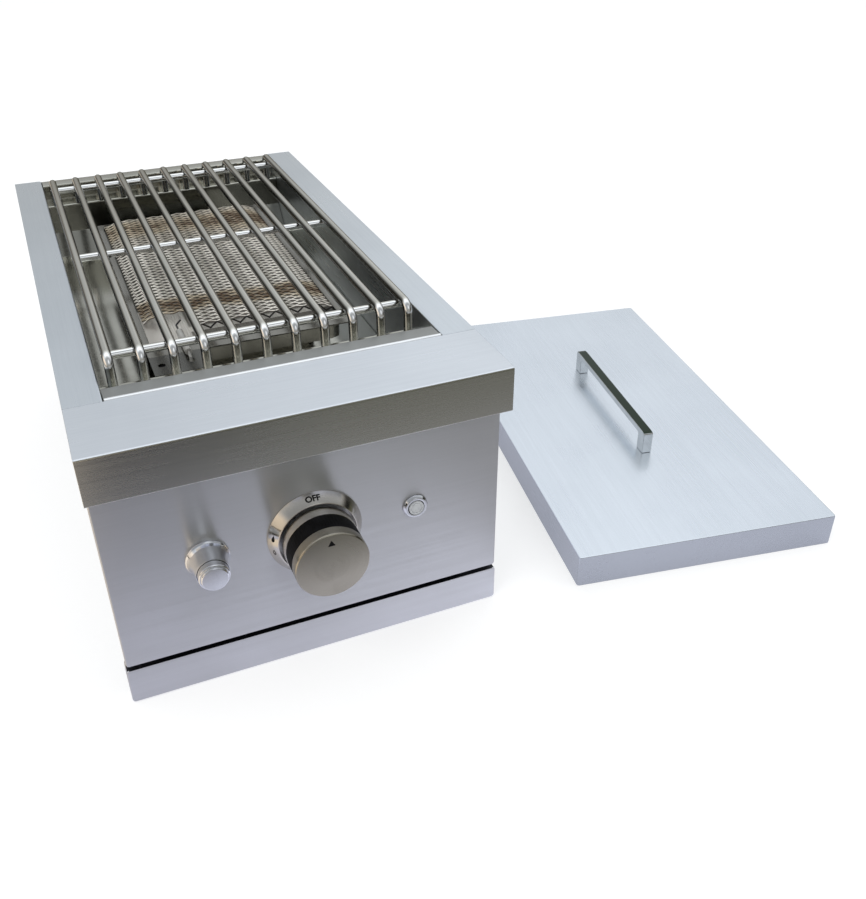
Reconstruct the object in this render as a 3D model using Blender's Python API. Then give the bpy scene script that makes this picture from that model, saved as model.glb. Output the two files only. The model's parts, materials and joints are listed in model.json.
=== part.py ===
"""Drop-in gas side burner with an infrared burner, a lift-out grate and a lift-off lid.

Metres, +Z up. X runs across the width, Y from the front to the rear, and the origin is the
centre of the underside of the base. Setbacks are measured back from the front face, drops are
measured down from the deck, which is the plane of the counter flanges.
"""

import math

import bmesh
import bpy
from mathutils import Vector

# Casing, overall
WIDTH = 0.318
DEPTH = 0.610
HEIGHT = 0.2413

# Sheet metal, fits and cuts
GAUGE = 0.0012
BEND = 0.0010
FIT = 0.0003
OVERRUN = 0.005
MERGE = 0.000002
BEND_STEPS = 2
HOLE_SIDES = 16
SMOOTH_ANGLE = math.radians(35)

# Counter flanges with their folded-down inner walls
FLANGE_WIDTH = 0.0283
SIDE_WALL_DROP = 0.076

# Apron and the controls panel under it
APRON_DEPTH = 0.0705
APRON_HEIGHT = 0.038
PANEL_SETBACK = 0.0175
PANEL_SIDE_INSET = 0.0015
PANEL_RETURN = 0.0182
PANEL_CORNER = 0.0024
PANEL_EDGE = 0.0012
BRACKET_LEG = 0.015
BRACKET_TOP_DROP = 0.006

# Outer shell, rear panel and heat shield
VENT_COUNT = 6
VENT_WIDTH = 0.005
VENT_HEIGHT = 0.030
VENT_PITCH = 0.016
VENT_DROP = 0.120
SHIELD_SETBACK = 0.075
SHIELD_LEG = 0.015
SHIELD_FOOT = 0.041

# Tub: strips, ledges and the sunken well
STRIP_DROP = 0.0005
FRONT_STRIP = 0.0232
REAR_STRIP = 0.0185
HEM_LENGTH = 0.007
LEDGE_DROP = 0.017
FRONT_LEDGE = 0.032
REAR_LEDGE = 0.023
WELL_WALL = 0.031
SLOPE_RUN = 0.019
SLOPE_DROP = 0.0215
TAIL_DROP = 0.010

# Grease tray, its front and its runners
TRAY_FRONT_HEIGHT = 0.0335
TRAY_FRONT_LIFT = 0.0005
TRAY_FRONT_DEPTH = 0.0145
TRAY_SLOT = 0.004
TRAY_SIDE_INSET = 0.0005
TRAY_RIM = 0.009
TRAY_DEPTH = 0.022
TRAY_LENGTH = 0.501
TRAY_LIFT = 0.0053
TRAY_TAPER = 0.004
TRAY_CORNER = 0.012
RUNNER_OVERLAP = 0.006
RUNNER_LEG = 0.0165
RUNNER_LENGTH = 0.514
RUNNER_SETBACK = 0.046
TRAY_RIM_GAP = 0.0082

# Burner box with its turned rim and plaque shelf
BURNER_SETBACK = 0.168
BURNER_REAR_MARGIN = 0.112
BURNER_HALF_WIDTH = 0.087
BURNER_RIM_DROP = 0.022
RIM_SIDE = 0.004
RIM_FRONT = 0.014
RIM_REAR = 0.004
BURNER_CORNER = 0.010
SHELF_WIDTH = 0.019
BOX_DEPTH = 0.037
SUPPORT_TOP_WIDTH = 0.016
SUPPORT_FOOT = 0.006
SUPPORT_CLEARANCE = 0.002
SUPPORT_HALF_LENGTH = 0.058
SUPPORT_INSET = 0.026

# Ceramic plaques, their gasket and retaining frame
PLAQUE_COUNT = 3
PLAQUE_HALF_WIDTH = 0.069
PLAQUE_THICKNESS = 0.013
PLAQUE_DROP = 0.026
PLAQUE_END_PLAY = 0.0068
GASKET_THICKNESS = 0.0015
GASKET_OVERLAP = 0.0045
FRAME_LIP = 0.004

# Expanded-metal screen
SCREEN_DROP = 0.016
SCREEN_THICKNESS = 0.0010
SCREEN_FLAT_HALF = 0.070
SCREEN_BAND_RUN = 0.009
SCREEN_FRONT_GAP = 0.0158
SCREEN_REAR_GAP = 0.0048
SCREEN_COLUMNS = 11
SCREEN_ROWS = 35
STRAND_SHARE = 0.26
CUTOUT_COLUMNS = 2
CUTOUT_ROWS = 9

# Spark electrode, its plate and its lead
PLATE_HALF_WIDTH = 0.0215
PLATE_DEPTH = 0.033
PLATE_HOLE = 0.003
PLATE_HOLE_INSET = 0.008
ELECTRODE_INSET = 0.0315
INSULATOR_RADIUS = 0.003
INSULATOR_BORE = 0.0011
INSULATOR_OVERHANG = 0.008
INSULATOR_LENGTH = 0.040
PIN_RADIUS = 0.0008
PIN_REACH = 0.014
PIN_HOOK_SIDE = 0.005
PIN_HOOK_REACH = 0.008
PIN_BEND = 0.003
LEAD_RADIUS = 0.00125
LEAD_HOLE = 0.003
LEAD_BEND = 0.006
LEAD_STEP = 0.006
TUB_HOLE_SIDE_INSET = 0.0735
TUB_HOLE_FLOOR_INSET = 0.006

# Controls: height, spacing and the knob
CONTROL_DROP = 0.118
CONTROL_SIDE_INSET = 0.0755
STEM_RADIUS = 0.003
STEM_HOLE = 0.006
STEM_TAIL = 0.015
STEM_REACH = 0.030
KNOB_SIDES = 40
BEZEL_RADIUS = 0.038
BEZEL_HEIGHT = 0.0095
BEZEL_LIP = 0.0009
BEZEL_BORE = 0.031
BEZEL_CREST = 0.0008
BASE_RING_RADIUS = 0.030
BASE_RING_START = 0.0105
BASE_RING_HEIGHT = 0.008
BAND_RADIUS = 0.0296
BAND_HEIGHT = 0.0134
KNOB_WALL = 0.0032
CAP_HEIGHT = 0.013
CAP_CHAMFER = 0.0014
CAP_CHAMFER_HEIGHT = 0.0026
CAP_CROWN = 0.0055
HUB_RADIUS = 0.009
HUB_START = 0.008

# Valve, orifice and manifold
VALVE_SETBACK = 0.0065
VALVE_LENGTH = 0.036
VALVE_RADIUS = 0.011
VALVE_BORE = 0.006
VALVE_BORE_DEPTH = 0.0235
VALVE_NECK = 0.006
PLUG_END_PLAY = 0.001
PLUG_SOCKET_DEPTH = 0.0165
SPUD_RADIUS = 0.004
SPUD_HEX = 0.0065
SPUD_HEX_LENGTH = 0.008
SPUD_BORE = 0.001
SPUD_ENTRY = 0.006
MANIFOLD_RADIUS = 0.010
MANIFOLD_END_INSET = 0.0357
MANIFOLD_SETBACK = 0.052
MANIFOLD_DROP = 0.142
MANIFOLD_SIDES = 14
MANIFOLD_BRACKET_LEG = 0.022
MANIFOLD_BRACKET_HEIGHT = 0.024
MANIFOLD_BRACKET_OVERLAP = 0.010
INLET_TUBE_RADIUS = 0.006
INLET_TUBE_INSET = 0.0187
FITTING_RADIUS = 0.009
FITTING_HEX = 0.013
FITTING_HEX_LENGTH = 0.008
FITTING_BORE = 0.005
FITTING_INSIDE = 0.018
FITTING_OUTSIDE = 0.014

# Mixer tube and its air shutter
MIXER_SETBACK = 0.086
MIXER_MOUTH_RADIUS = 0.017
MIXER_THROAT_RADIUS = 0.011
MIXER_RADIUS = 0.015
MIXER_WALL = 0.0015
MIXER_COLLAR = 0.014
MIXER_TAPER = 0.016
MIXER_THROAT = 0.006
MIXER_DIFFUSER = 0.048
MIXER_ELBOW = 0.034
MIXER_RISER_SETBACK = 0.240
MIXER_ENTRY = 0.008
MIXER_SIDES = 12
SHUTTER_WALL = 0.001
SHUTTER_LENGTH = 0.012
SHUTTER_WINDOW = 0.0045
SHUTTER_WINDOW_OFFSET = 0.0105

# Igniter
IGNITER_FLANGE = 0.017
IGNITER_FLANGE_LIP = 0.002
IGNITER_CREST = 0.013
IGNITER_SHOULDER = 0.012
IGNITER_HEIGHT = 0.0150
IGNITER_BUTTON = 0.0118
IGNITER_BUTTON_START = 0.0048
IGNITER_BUTTON_END = 0.0245
IGNITER_FACE_RADIUS = 0.0103
IGNITER_FACE_HEIGHT = 0.0022
IGNITER_EDGE = 0.0008
IGNITER_PIN = 0.004
IGNITER_PIN_LENGTH = 0.012
IGNITER_BARREL = 0.0107
IGNITER_BARREL_LENGTH = 0.050
IGNITER_BARREL_BORE_DEPTH = 0.016
IGNITER_TERMINAL = 0.0025
IGNITER_TERMINAL_LENGTH = 0.004
IGNITER_NUT = 0.0155
NUT_HEIGHT = 0.005

# Light switch
SWITCH_FLANGE = 0.0106
SWITCH_FLANGE_LIP = 0.0009
SWITCH_CREST = 0.009
SWITCH_HEIGHT = 0.0033
SWITCH_BUTTON = 0.00765
SWITCH_BUTTON_START = 0.0023
SWITCH_BUTTON_FACE = 0.0041
SWITCH_PIN = 0.0025
SWITCH_PIN_LENGTH = 0.006
SWITCH_BARREL = 0.0077
SWITCH_BARREL_LENGTH = 0.020
SWITCH_BARREL_BORE_DEPTH = 0.009
SWITCH_NUT = 0.0115
CONTROL_SIDES = 28

# Grate
ROD_COUNT = 11
ROD_RADIUS = 0.00375
ROD_SIDES = 8
ROD_RISE = 0.009
ROD_BEND = 0.008
ROD_BEND_STEPS = 3
BAR_RADIUS = 0.0035
BAR_OVERHANG = 0.0034
BAR_INSET = 0.017
WELD_SINK = 0.0006
GRATE_SIDE_PLAY = 0.0106
GRATE_FRONT_PLAY = 0.024
GRATE_REAR_PLAY = 0.018

# Lid, its bar handle and the handle's screws
LID_SIDE_PLAY = 0.0019
LID_END_PLAY = 0.0089
LID_HEIGHT = 0.0324
LID_CORNER = 0.0022
LID_EDGE = 0.0012
LID_ASIDE = 0.075
LID_TURN = math.radians(-9.23)
HANDLE_LENGTH = 0.190
HANDLE_WIDTH = 0.010
HANDLE_HEIGHT = 0.024
HANDLE_LEG = 0.010
HANDLE_BAR = 0.0058
HANDLE_CORNER = 0.0025
SCREW_RADIUS = 0.002
SCREW_DEPTH = 0.009
SCREW_HEAD = 0.0042
SCREW_HEAD_HEIGHT = 0.0022

# Planes and places that follow from the sizes above
OPENING_HALF = WIDTH / 2 - FLANGE_WIDTH
SHELL_HALF = OPENING_HALF + 2 * GAUGE + FIT
SHELL_FRONT = PANEL_SETBACK + PANEL_RETURN + FIT
SHELL_REAR = DEPTH - GAUGE - FIT
SHELL_TOP_DROP = GAUGE + FIT
SHELL_WALL_DROP = GAUGE + 2 * BEND + FIT
CONTROL_SPACING = WIDTH / 2 - CONTROL_SIDE_INSET
MANIFOLD_HALF_LENGTH = OPENING_HALF - MANIFOLD_END_INSET
INLET_TUBE_X = OPENING_HALF - INLET_TUBE_INSET
FRONT_WALL = APRON_DEPTH + FIT + FRONT_STRIP
REAR_WALL = SHELL_REAR - REAR_STRIP
WELL_FRONT = FRONT_WALL + FRONT_LEDGE
WELL_REAR = REAR_WALL - REAR_LEDGE
WELL_DROP = LEDGE_DROP + WELL_WALL + SLOPE_DROP
TUB_HALF = OPENING_HALF - FIT
BURNER_REAR = DEPTH - BURNER_REAR_MARGIN
BOX_WALL_FRONT = BURNER_SETBACK + RIM_FRONT
BOX_WALL_REAR = BURNER_REAR - RIM_REAR
BOX_WALL_HALF = BURNER_HALF_WIDTH - RIM_SIDE
PLAQUE_BOTTOM_DROP = PLAQUE_DROP + PLAQUE_THICKNESS
GASKET_DROP = PLAQUE_BOTTOM_DROP + FIT
SHELF_DROP = GASKET_DROP + GASKET_THICKNESS + FIT
BOX_BOTTOM_DROP = BURNER_RIM_DROP + BOX_DEPTH
PLAQUE_FRONT = BOX_WALL_FRONT + GAUGE + PLAQUE_END_PLAY
PLAQUE_REAR = BOX_WALL_REAR - GAUGE - PLAQUE_END_PLAY
FRAME_DROP = PLAQUE_DROP - FIT - GAUGE
SUPPORT_HALF_SPAN = SUPPORT_TOP_WIDTH / 2 + SUPPORT_FOOT
FRONT_SUPPORT_SETBACK = MIXER_RISER_SETBACK - MIXER_RADIUS - SUPPORT_CLEARANCE - SUPPORT_HALF_SPAN
REAR_SUPPORT_SETBACK = BOX_WALL_REAR - SHELF_WIDTH - SUPPORT_INSET
PANEL_BASE = TRAY_FRONT_LIFT + TRAY_FRONT_HEIGHT + TRAY_SLOT
LID_LENGTH = REAR_WALL - FRONT_WALL - 2 * LID_END_PLAY
LID_WIDTH = 2 * (OPENING_HALF - LID_SIDE_PLAY)

# Colour, roughness and metallic value of each finish
FINISHES = {
    "brushed_steel": ((0.62, 0.63, 0.65), 0.34, 1.0),
    "bezel_steel": ((0.60, 0.57, 0.52), 0.30, 1.0),
    "tub_steel": ((0.30, 0.28, 0.25), 0.22, 1.0),
    "rod_steel": ((0.50, 0.49, 0.47), 0.28, 1.0),
    "galvanised": ((0.50, 0.52, 0.53), 0.50, 1.0),
    "chrome": ((0.80, 0.81, 0.82), 0.08, 1.0),
    "knob_steel": ((0.48, 0.45, 0.42), 0.30, 1.0),
    "black_grip": ((0.02, 0.02, 0.022), 0.55, 0.0),
    "ceramic": ((0.84, 0.78, 0.64), 0.85, 0.0),
    "insulator": ((0.90, 0.89, 0.85), 0.35, 0.0),
    "screen_metal": ((0.42, 0.34, 0.25), 0.42, 1.0),
    "cast_iron": ((0.09, 0.09, 0.09), 0.70, 0.6),
    "brass": ((0.72, 0.55, 0.26), 0.30, 1.0),
    "gasket": ((0.72, 0.70, 0.65), 0.95, 0.0),
    "lead_sleeve": ((0.55, 0.10, 0.05), 0.60, 0.0),
    "switch_button": ((0.66, 0.68, 0.70), 0.30, 0.6),
}


def clear_scene():
    """Remove every object that is already in the file."""
    for item in list(bpy.data.objects):
        bpy.data.objects.remove(item, do_unlink=True)


def back(setback):
    """Y of a plane at a setback behind the front face."""
    return setback - DEPTH / 2


def down(distance):
    """Z of a plane at a drop below the deck."""
    return HEIGHT - distance


def corner_arc(before, corner, after, radius, steps):
    """Points of the arc that rounds one corner, or the corner itself where it stays sharp."""
    if radius == 0:
        return [corner]
    inward = (before - corner).normalized()
    outward = (after - corner).normalized()
    half = inward.angle(outward) / 2
    reach = radius / math.tan(half)
    centre = corner + (inward + outward).normalized() * (radius / math.sin(half))
    first = corner + inward * reach - centre
    last = corner + outward * reach - centre
    turn = math.pi - 2 * half
    points = []
    for step in range(steps + 1):
        part = step / steps
        weight_first = math.sin((1 - part) * turn) / math.sin(turn)
        weight_last = math.sin(part * turn) / math.sin(turn)
        points.append(centre + first * weight_first + last * weight_last)
    return points


def rounded_path(points, radii, steps):
    """Open path with each inner corner rounded by its own radius."""
    path = [points[0]]
    for index, radius in enumerate(radii):
        path += corner_arc(points[index], points[index + 1], points[index + 2], radius, steps)
    path.append(points[-1])
    return path


def rounded_outline(corners, steps):
    """Closed outline from (u, v, radius) corners."""
    points = [Vector(corner[:2]) for corner in corners]
    outline = []
    for index, corner in enumerate(corners):
        after = points[(index + 1) % len(points)]
        outline += corner_arc(points[index - 1], points[index], after, corner[2], steps)
    return outline


def sheet_section(places):
    """Closed section of folded sheet. The places lie on one face, and the metal to its right."""
    face = [Vector(place) for place in places]
    runs = [(end - start).normalized() for start, end in zip(face, face[1:])]
    rights = [Vector((run.y, -run.x)) for run in runs]
    other = [face[0] + rights[0] * GAUGE]
    face_radii = []
    other_radii = []
    for index in range(1, len(face) - 1):
        before, after = rights[index - 1], rights[index]
        other.append(face[index] + (before + after) / (1 + before.dot(after)) * GAUGE)
        turns_left = runs[index - 1].cross(runs[index]) > 0
        face_radii.append(BEND if turns_left else BEND + GAUGE)
        other_radii.append(BEND + GAUGE if turns_left else BEND)
    other.append(face[-1] + rights[-1] * GAUGE)
    near = rounded_path(face, face_radii, BEND_STEPS)
    far = rounded_path(other, other_radii, BEND_STEPS)
    return near + far[::-1]


def rectangle(u_low, u_high, v_low, v_high):
    """Four corners of a rectangle."""
    return [(u_low, v_low), (u_high, v_low), (u_high, v_high), (u_low, v_high)]


def rounded_rectangle(x_low, x_high, y_low, y_high, radius):
    """Closed rectangle with round corners, counter-clockwise."""
    corners = [(x, y, radius) for x, y in rectangle(x_low, x_high, y_low, y_high)]
    return rounded_outline(corners, BEND_STEPS)


def circle(radius, sides, phase=0.0):
    """Points of a regular polygon inscribed in a circle."""
    angles = [2 * math.pi * (index + phase) / sides for index in range(sides)]
    return [(radius * math.cos(angle), radius * math.sin(angle)) for angle in angles]


def hexagon(radius):
    """Hexagon with a point on each corner and in the middle of each side."""
    flat = math.cos(math.pi / 6)
    return [(x * (flat if index % 2 else 1), y * (flat if index % 2 else 1))
            for index, (x, y) in enumerate(circle(radius, 12))]


def skin(rings, closed=False):
    """Mesh over a run of rings. A closed run joins its ends, an open one is capped."""
    mesh = bmesh.new()
    loops = [[mesh.verts.new(point) for point in ring] for ring in rings]
    pairs = list(zip(loops, loops[1:]))
    if closed:
        pairs.append((loops[-1], loops[0]))
    else:
        mesh.faces.new(loops[0][::-1])
        mesh.faces.new(loops[-1])
    for lower, upper in pairs:
        for index in range(len(lower)):
            after = (index + 1) % len(lower)
            mesh.faces.new((lower[index], lower[after], upper[after], upper[index]))
    bmesh.ops.recalc_face_normals(mesh, faces=mesh.faces)
    return mesh


def prism(outline, low, high, axis):
    """Solid between two planes across an axis, from an outline in the other two axes."""
    place = {
        "X": lambda u, v, w: (w, u, v),
        "Y": lambda u, v, w: (u, w, v),
        "Z": lambda u, v, w: (u, v, w),
    }[axis]
    return skin([[place(u, v, level) for u, v in outline] for level in (low, high)])


def turned(profile, sides):
    """Solid of revolution about Z, from (radius, height) points.

    A profile that starts and ends on the axis stays open, any other is closed to a ring.
    """
    mesh = bmesh.new()
    verts = [mesh.verts.new((radius, 0, height)) for radius, height in profile]
    edges = [mesh.edges.new(pair) for pair in zip(verts, verts[1:])]
    if profile[0][0] > 0:
        edges.append(mesh.edges.new((verts[-1], verts[0])))
    bmesh.ops.spin(mesh, geom=verts + edges, cent=(0, 0, 0), axis=(0, 0, 1),
                   angle=2 * math.pi, steps=sides, use_merge=True)
    bmesh.ops.remove_doubles(mesh, verts=mesh.verts, dist=MERGE)
    bmesh.ops.recalc_face_normals(mesh, faces=mesh.faces)
    return mesh


def tube_rings(path, radii, sides, phase=0.5):
    """Rings square to a path, with the frame carried along without twist."""
    runs = [(end - start).normalized() for start, end in zip(path, path[1:])]
    tangents = [runs[0]]
    tangents += [(before + after).normalized() for before, after in zip(runs, runs[1:])]
    tangents.append(runs[-1])
    upright = Vector((1, 0, 0)) if abs(runs[0].x) < abs(runs[0].y) + abs(runs[0].z) else Vector((0, 0, 1))
    side = upright.cross(tangents[0]).normalized()
    rings = []
    for point, tangent, radius in zip(path, tangents, radii):
        side = (side - tangent * side.dot(tangent)).normalized()
        other = tangent.cross(side)
        rings.append([point + side * u + other * v for u, v in circle(radius, sides, phase)])
    return rings


def rod(path, radius, sides):
    """Solid round bar along a path."""
    return skin(tube_rings(path, [radius] * len(path), sides))


def pan(half_x, half_y, depth, corner, edge):
    """Folded pan with its closed face on z = 0, facing +Z, and its open side at -depth."""
    levels = [(edge * (1 - math.sin(turn)), edge * (math.cos(turn) - 1))
              for turn in (math.pi / 2 * step / BEND_STEPS for step in range(BEND_STEPS + 1))]
    levels += [(0, -depth), (GAUGE, -depth), (GAUGE, -GAUGE)]
    rings = []
    for inset, height in levels:
        outline = rounded_rectangle(inset - half_x, half_x - inset, inset - half_y, half_y - inset,
                                    corner - inset)
        rings.append([(x, y, height) for x, y in outline])
    return skin(rings)


def bounded_rings(levels):
    """Rings of round-cornered rectangles from (half_x, y_front, y_rear, corner, z) levels."""
    rings = []
    for half_x, y_front, y_rear, corner, height in levels:
        outline = rounded_rectangle(-half_x, half_x, y_front, y_rear, corner)
        rings.append([(x, y, height) for x, y in outline])
    return rings


def add_object(name, mesh_data):
    """Link a new object that holds a finished bmesh."""
    mesh = bpy.data.meshes.new(name)
    mesh_data.to_mesh(mesh)
    mesh_data.free()
    item = bpy.data.objects.new(name, mesh)
    bpy.context.scene.collection.objects.link(item)
    return item


def material_of(name, finish):
    """Principled material in one of the listed finishes."""
    colour, roughness, metallic = FINISHES[finish]
    material = bpy.data.materials.new(name)
    material.use_nodes = True
    shader = material.node_tree.nodes["Principled BSDF"]
    shader.inputs["Base Color"].default_value = (*colour, 1.0)
    shader.inputs["Roughness"].default_value = roughness
    shader.inputs["Metallic"].default_value = metallic
    return material


def piece(name, mesh_data, finish, parent=None):
    """One named sub-part with its own material and smooth shading on round faces."""
    item = add_object(name, mesh_data)
    item.data.shade_smooth()
    item.data.set_sharp_from_angle(angle=SMOOTH_ANGLE)
    item.data.materials.append(material_of(name, finish))
    item.parent = parent
    return item


def place_empty(name, location, rotation=(0, 0, 0)):
    """Empty that carries the pieces of one joint or one control."""
    empty = bpy.data.objects.new(name, None)
    empty.location = location
    empty.rotation_euler = rotation
    bpy.context.scene.collection.objects.link(empty)
    return empty


def combine(target, mesh_data, operation, parent=None):
    """Cut a guide from the target, or weld it on, with a Boolean modifier."""
    guide = add_object(f"{target.name}_{operation.lower()}", mesh_data)
    guide.parent = parent
    guide.hide_render = True
    guide.display_type = "WIRE"
    modifier = target.modifiers.new(guide.name, "BOOLEAN")
    modifier.operation = operation
    modifier.solver = "EXACT"
    modifier.object = guide


def drill(target, axis, centre, depth, radius, parent=None, sides=HOLE_SIDES):
    """Cut a round hole along an axis, from the centre through the depth, with overruns."""
    start = Vector(centre) - Vector(axis) * OVERRUN
    end = Vector(centre) + Vector(axis) * (depth + OVERRUN)
    combine(target, rod([start, end], radius, sides), "DIFFERENCE", parent)


def side_frame(name, side):
    """Counter flange with the inner wall folded down from it."""
    inner = side * OPENING_HALF
    outer = side * WIDTH / 2
    places = [(outer, HEIGHT), (inner, HEIGHT), (inner, down(SIDE_WALL_DROP))]
    section = sheet_section(places if side < 0 else places[::-1])
    piece(name, prism(section, back(APRON_DEPTH + FIT), back(SHELL_REAR), "Y"), "brushed_steel")


def tub_sheet():
    """Folded tub: hemmed front strip, ledges for grate and lid, sunken well, rear strip."""
    strip_front = APRON_DEPTH + FIT
    hem_drop = STRIP_DROP + 2 * (BEND + GAUGE) + FIT
    wall_drop = LEDGE_DROP + WELL_WALL
    places = [
        (strip_front + HEM_LENGTH, hem_drop),
        (strip_front, hem_drop),
        (strip_front, STRIP_DROP),
        (FRONT_WALL, STRIP_DROP),
        (FRONT_WALL, LEDGE_DROP),
        (WELL_FRONT, LEDGE_DROP),
        (WELL_FRONT, wall_drop),
        (WELL_FRONT + SLOPE_RUN, WELL_DROP),
        (WELL_REAR - SLOPE_RUN, WELL_DROP),
        (WELL_REAR, wall_drop),
        (WELL_REAR, LEDGE_DROP),
        (REAR_WALL, LEDGE_DROP),
        (REAR_WALL, STRIP_DROP),
        (SHELL_REAR, STRIP_DROP),
        (SHELL_REAR, STRIP_DROP + TAIL_DROP),
    ]
    section = sheet_section([(back(setback), down(distance)) for setback, distance in places])
    tub = piece("tub_sheet", prism(section, -TUB_HALF, TUB_HALF, "X"), "tub_steel")
    drill(tub, (0, 0, -1), (0, back(MIXER_RISER_SETBACK), down(WELL_DROP)), GAUGE, MIXER_RADIUS + FIT)
    drill(tub, (0, 0, -1), lead_floor_point(), GAUGE, LEAD_HOLE)


def apron():
    """Folded front cap with closed ends and a cavity that is open to the rear."""
    lip = PANEL_SETBACK - FIT
    corners = [
        (back(0), HEIGHT, BEND + GAUGE),
        (back(0), down(APRON_HEIGHT), BEND),
        (back(lip), down(APRON_HEIGHT), 0),
        (back(lip), down(GAUGE), 0),
        (back(APRON_DEPTH), down(GAUGE), 0),
        (back(APRON_DEPTH), HEIGHT, 0),
    ]
    outline = rounded_outline(corners, BEND_STEPS)
    cap = piece("apron", prism(outline, -WIDTH / 2, WIDTH / 2, "X"), "brushed_steel")
    cavity = rectangle(back(GAUGE), back(lip + OVERRUN), down(APRON_HEIGHT - GAUGE), down(GAUGE))
    end = WIDTH / 2 - GAUGE
    combine(cap, prism(cavity, -end, end, "X"), "DIFFERENCE")


def control_panel():
    """Folded front panel with the three control holes."""
    top = down(SHELL_TOP_DROP)
    half_height = (top - PANEL_BASE) / 2
    place = place_empty("panel_place", (0, back(PANEL_SETBACK), PANEL_BASE + half_height),
                        (math.pi / 2, 0, 0))
    half_width = WIDTH / 2 - PANEL_SIDE_INSET
    sheet = pan(half_width, half_height, PANEL_RETURN, PANEL_CORNER, PANEL_EDGE)
    panel = piece("control_panel", sheet, "brushed_steel", place)
    height = down(CONTROL_DROP)
    holes = ((0, STEM_HOLE), (-CONTROL_SPACING, IGNITER_BARREL + FIT), (CONTROL_SPACING, SWITCH_BARREL + FIT))
    for x, radius in holes:
        drill(panel, (0, 1, 0), (x, back(PANEL_SETBACK), height), GAUGE, radius)


def panel_bracket(name, side):
    """Angle that carries the panel's return on the shell's side."""
    near = SHELL_HALF + FIT
    far = WIDTH / 2 - PANEL_SIDE_INSET
    front = PANEL_SETBACK + PANEL_RETURN + FIT
    places = [(side * far, back(front)), (side * near, back(front)), (side * near, back(front + BRACKET_LEG))]
    section = sheet_section(places if side > 0 else places[::-1])
    low = PANEL_BASE + GAUGE
    piece(name, prism(section, low, down(BRACKET_TOP_DROP), "Z"), "galvanised")


def outer_shell():
    """Base and sides, folded from one sheet, the sides outside the frames' inner walls."""
    top = down(SHELL_WALL_DROP)
    section = sheet_section([(SHELL_HALF, top), (SHELL_HALF, 0), (-SHELL_HALF, 0), (-SHELL_HALF, top)])
    piece("outer_shell", prism(section, back(SHELL_FRONT), back(SHELL_REAR), "Y"), "galvanised")


def rear_panel():
    """Back plate with the gas inlet hole and a row of vent slots."""
    outline = rectangle(-SHELL_HALF, SHELL_HALF, 0, down(SHELL_TOP_DROP))
    plate = piece("rear_panel", prism(outline, back(SHELL_REAR + FIT), back(DEPTH), "Y"), "galvanised")
    hole = (INLET_TUBE_X, back(SHELL_REAR + FIT), down(MANIFOLD_DROP))
    drill(plate, (0, 1, 0), hole, GAUGE, FITTING_RADIUS + FIT)
    for index in range(VENT_COUNT):
        x = (index - (VENT_COUNT - 1) / 2) * VENT_PITCH
        slot = rectangle(x - VENT_WIDTH / 2, x + VENT_WIDTH / 2,
                         down(VENT_DROP + VENT_HEIGHT), down(VENT_DROP))
        low = back(SHELL_REAR + FIT - OVERRUN)
        combine(plate, prism(slot, low, back(DEPTH + OVERRUN), "Y"), "DIFFERENCE")


def heat_shield():
    """Baffle between the controls and the tub, with holes for spud, lead and gas tube."""
    leg = SHIELD_SETBACK + SHIELD_LEG
    places = [(TUB_HALF, back(leg)), (TUB_HALF, back(SHIELD_SETBACK)),
              (-TUB_HALF, back(SHIELD_SETBACK)), (-TUB_HALF, back(leg))]
    section = sheet_section(places)
    top = down(LEDGE_DROP + GAUGE + FIT)
    shield = piece("heat_shield", prism(section, SHIELD_FOOT, top, "Z"), "galvanised")
    holes = ((0, CONTROL_DROP, SPUD_RADIUS + FIT), (-CONTROL_SPACING, CONTROL_DROP, LEAD_HOLE),
             (INLET_TUBE_X, MANIFOLD_DROP, INLET_TUBE_RADIUS + FIT))
    for x, distance, radius in holes:
        drill(shield, (0, 1, 0), (x, back(SHIELD_SETBACK), down(distance)), GAUGE, radius)


def tray_rim_half():
    """Half width of the grease tray over its rims."""
    return SHELL_HALF - GAUGE - TRAY_RIM_GAP


def grease_tray():
    """Pull-out tray: a tapered pan with a turned rim, behind a folded front."""
    rim_half = tray_rim_half()
    wall_half = rim_half - TRAY_RIM
    front = back(PANEL_SETBACK + GAUGE + FIT)
    rear = front + TRAY_LENGTH
    top = TRAY_LIFT + TRAY_DEPTH
    foot_half = wall_half - TRAY_TAPER
    wall_front, wall_rear = front + TRAY_RIM, rear - TRAY_RIM
    foot_front, foot_rear = wall_front + TRAY_TAPER, wall_rear - TRAY_TAPER
    foot_corner = TRAY_CORNER - TRAY_TAPER
    levels = [
        (foot_half, foot_front, foot_rear, foot_corner, TRAY_LIFT),
        (wall_half, wall_front, wall_rear, TRAY_CORNER, top - GAUGE),
        (rim_half, front, rear, BEND + GAUGE, top - GAUGE),
        (rim_half, front, rear, BEND + GAUGE, top),
        (wall_half - GAUGE, wall_front + GAUGE, wall_rear - GAUGE, TRAY_CORNER - GAUGE, top),
        (foot_half - GAUGE, foot_front + GAUGE, foot_rear - GAUGE, foot_corner - GAUGE, TRAY_LIFT + GAUGE),
    ]
    place = place_empty("tray_slide_place", (0, 0, 0))
    piece("grease_tray", skin(bounded_rings(levels)), "galvanised", place)
    half_height = TRAY_FRONT_HEIGHT / 2
    face = place_empty("tray_front_place", (0, back(PANEL_SETBACK), TRAY_FRONT_LIFT + half_height),
                       (math.pi / 2, 0, 0))
    face.parent = place
    half_width = WIDTH / 2 - TRAY_SIDE_INSET
    sheet = pan(half_width, half_height, TRAY_FRONT_DEPTH, PANEL_CORNER, PANEL_EDGE)
    piece("tray_front", sheet, "brushed_steel", face)


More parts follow.
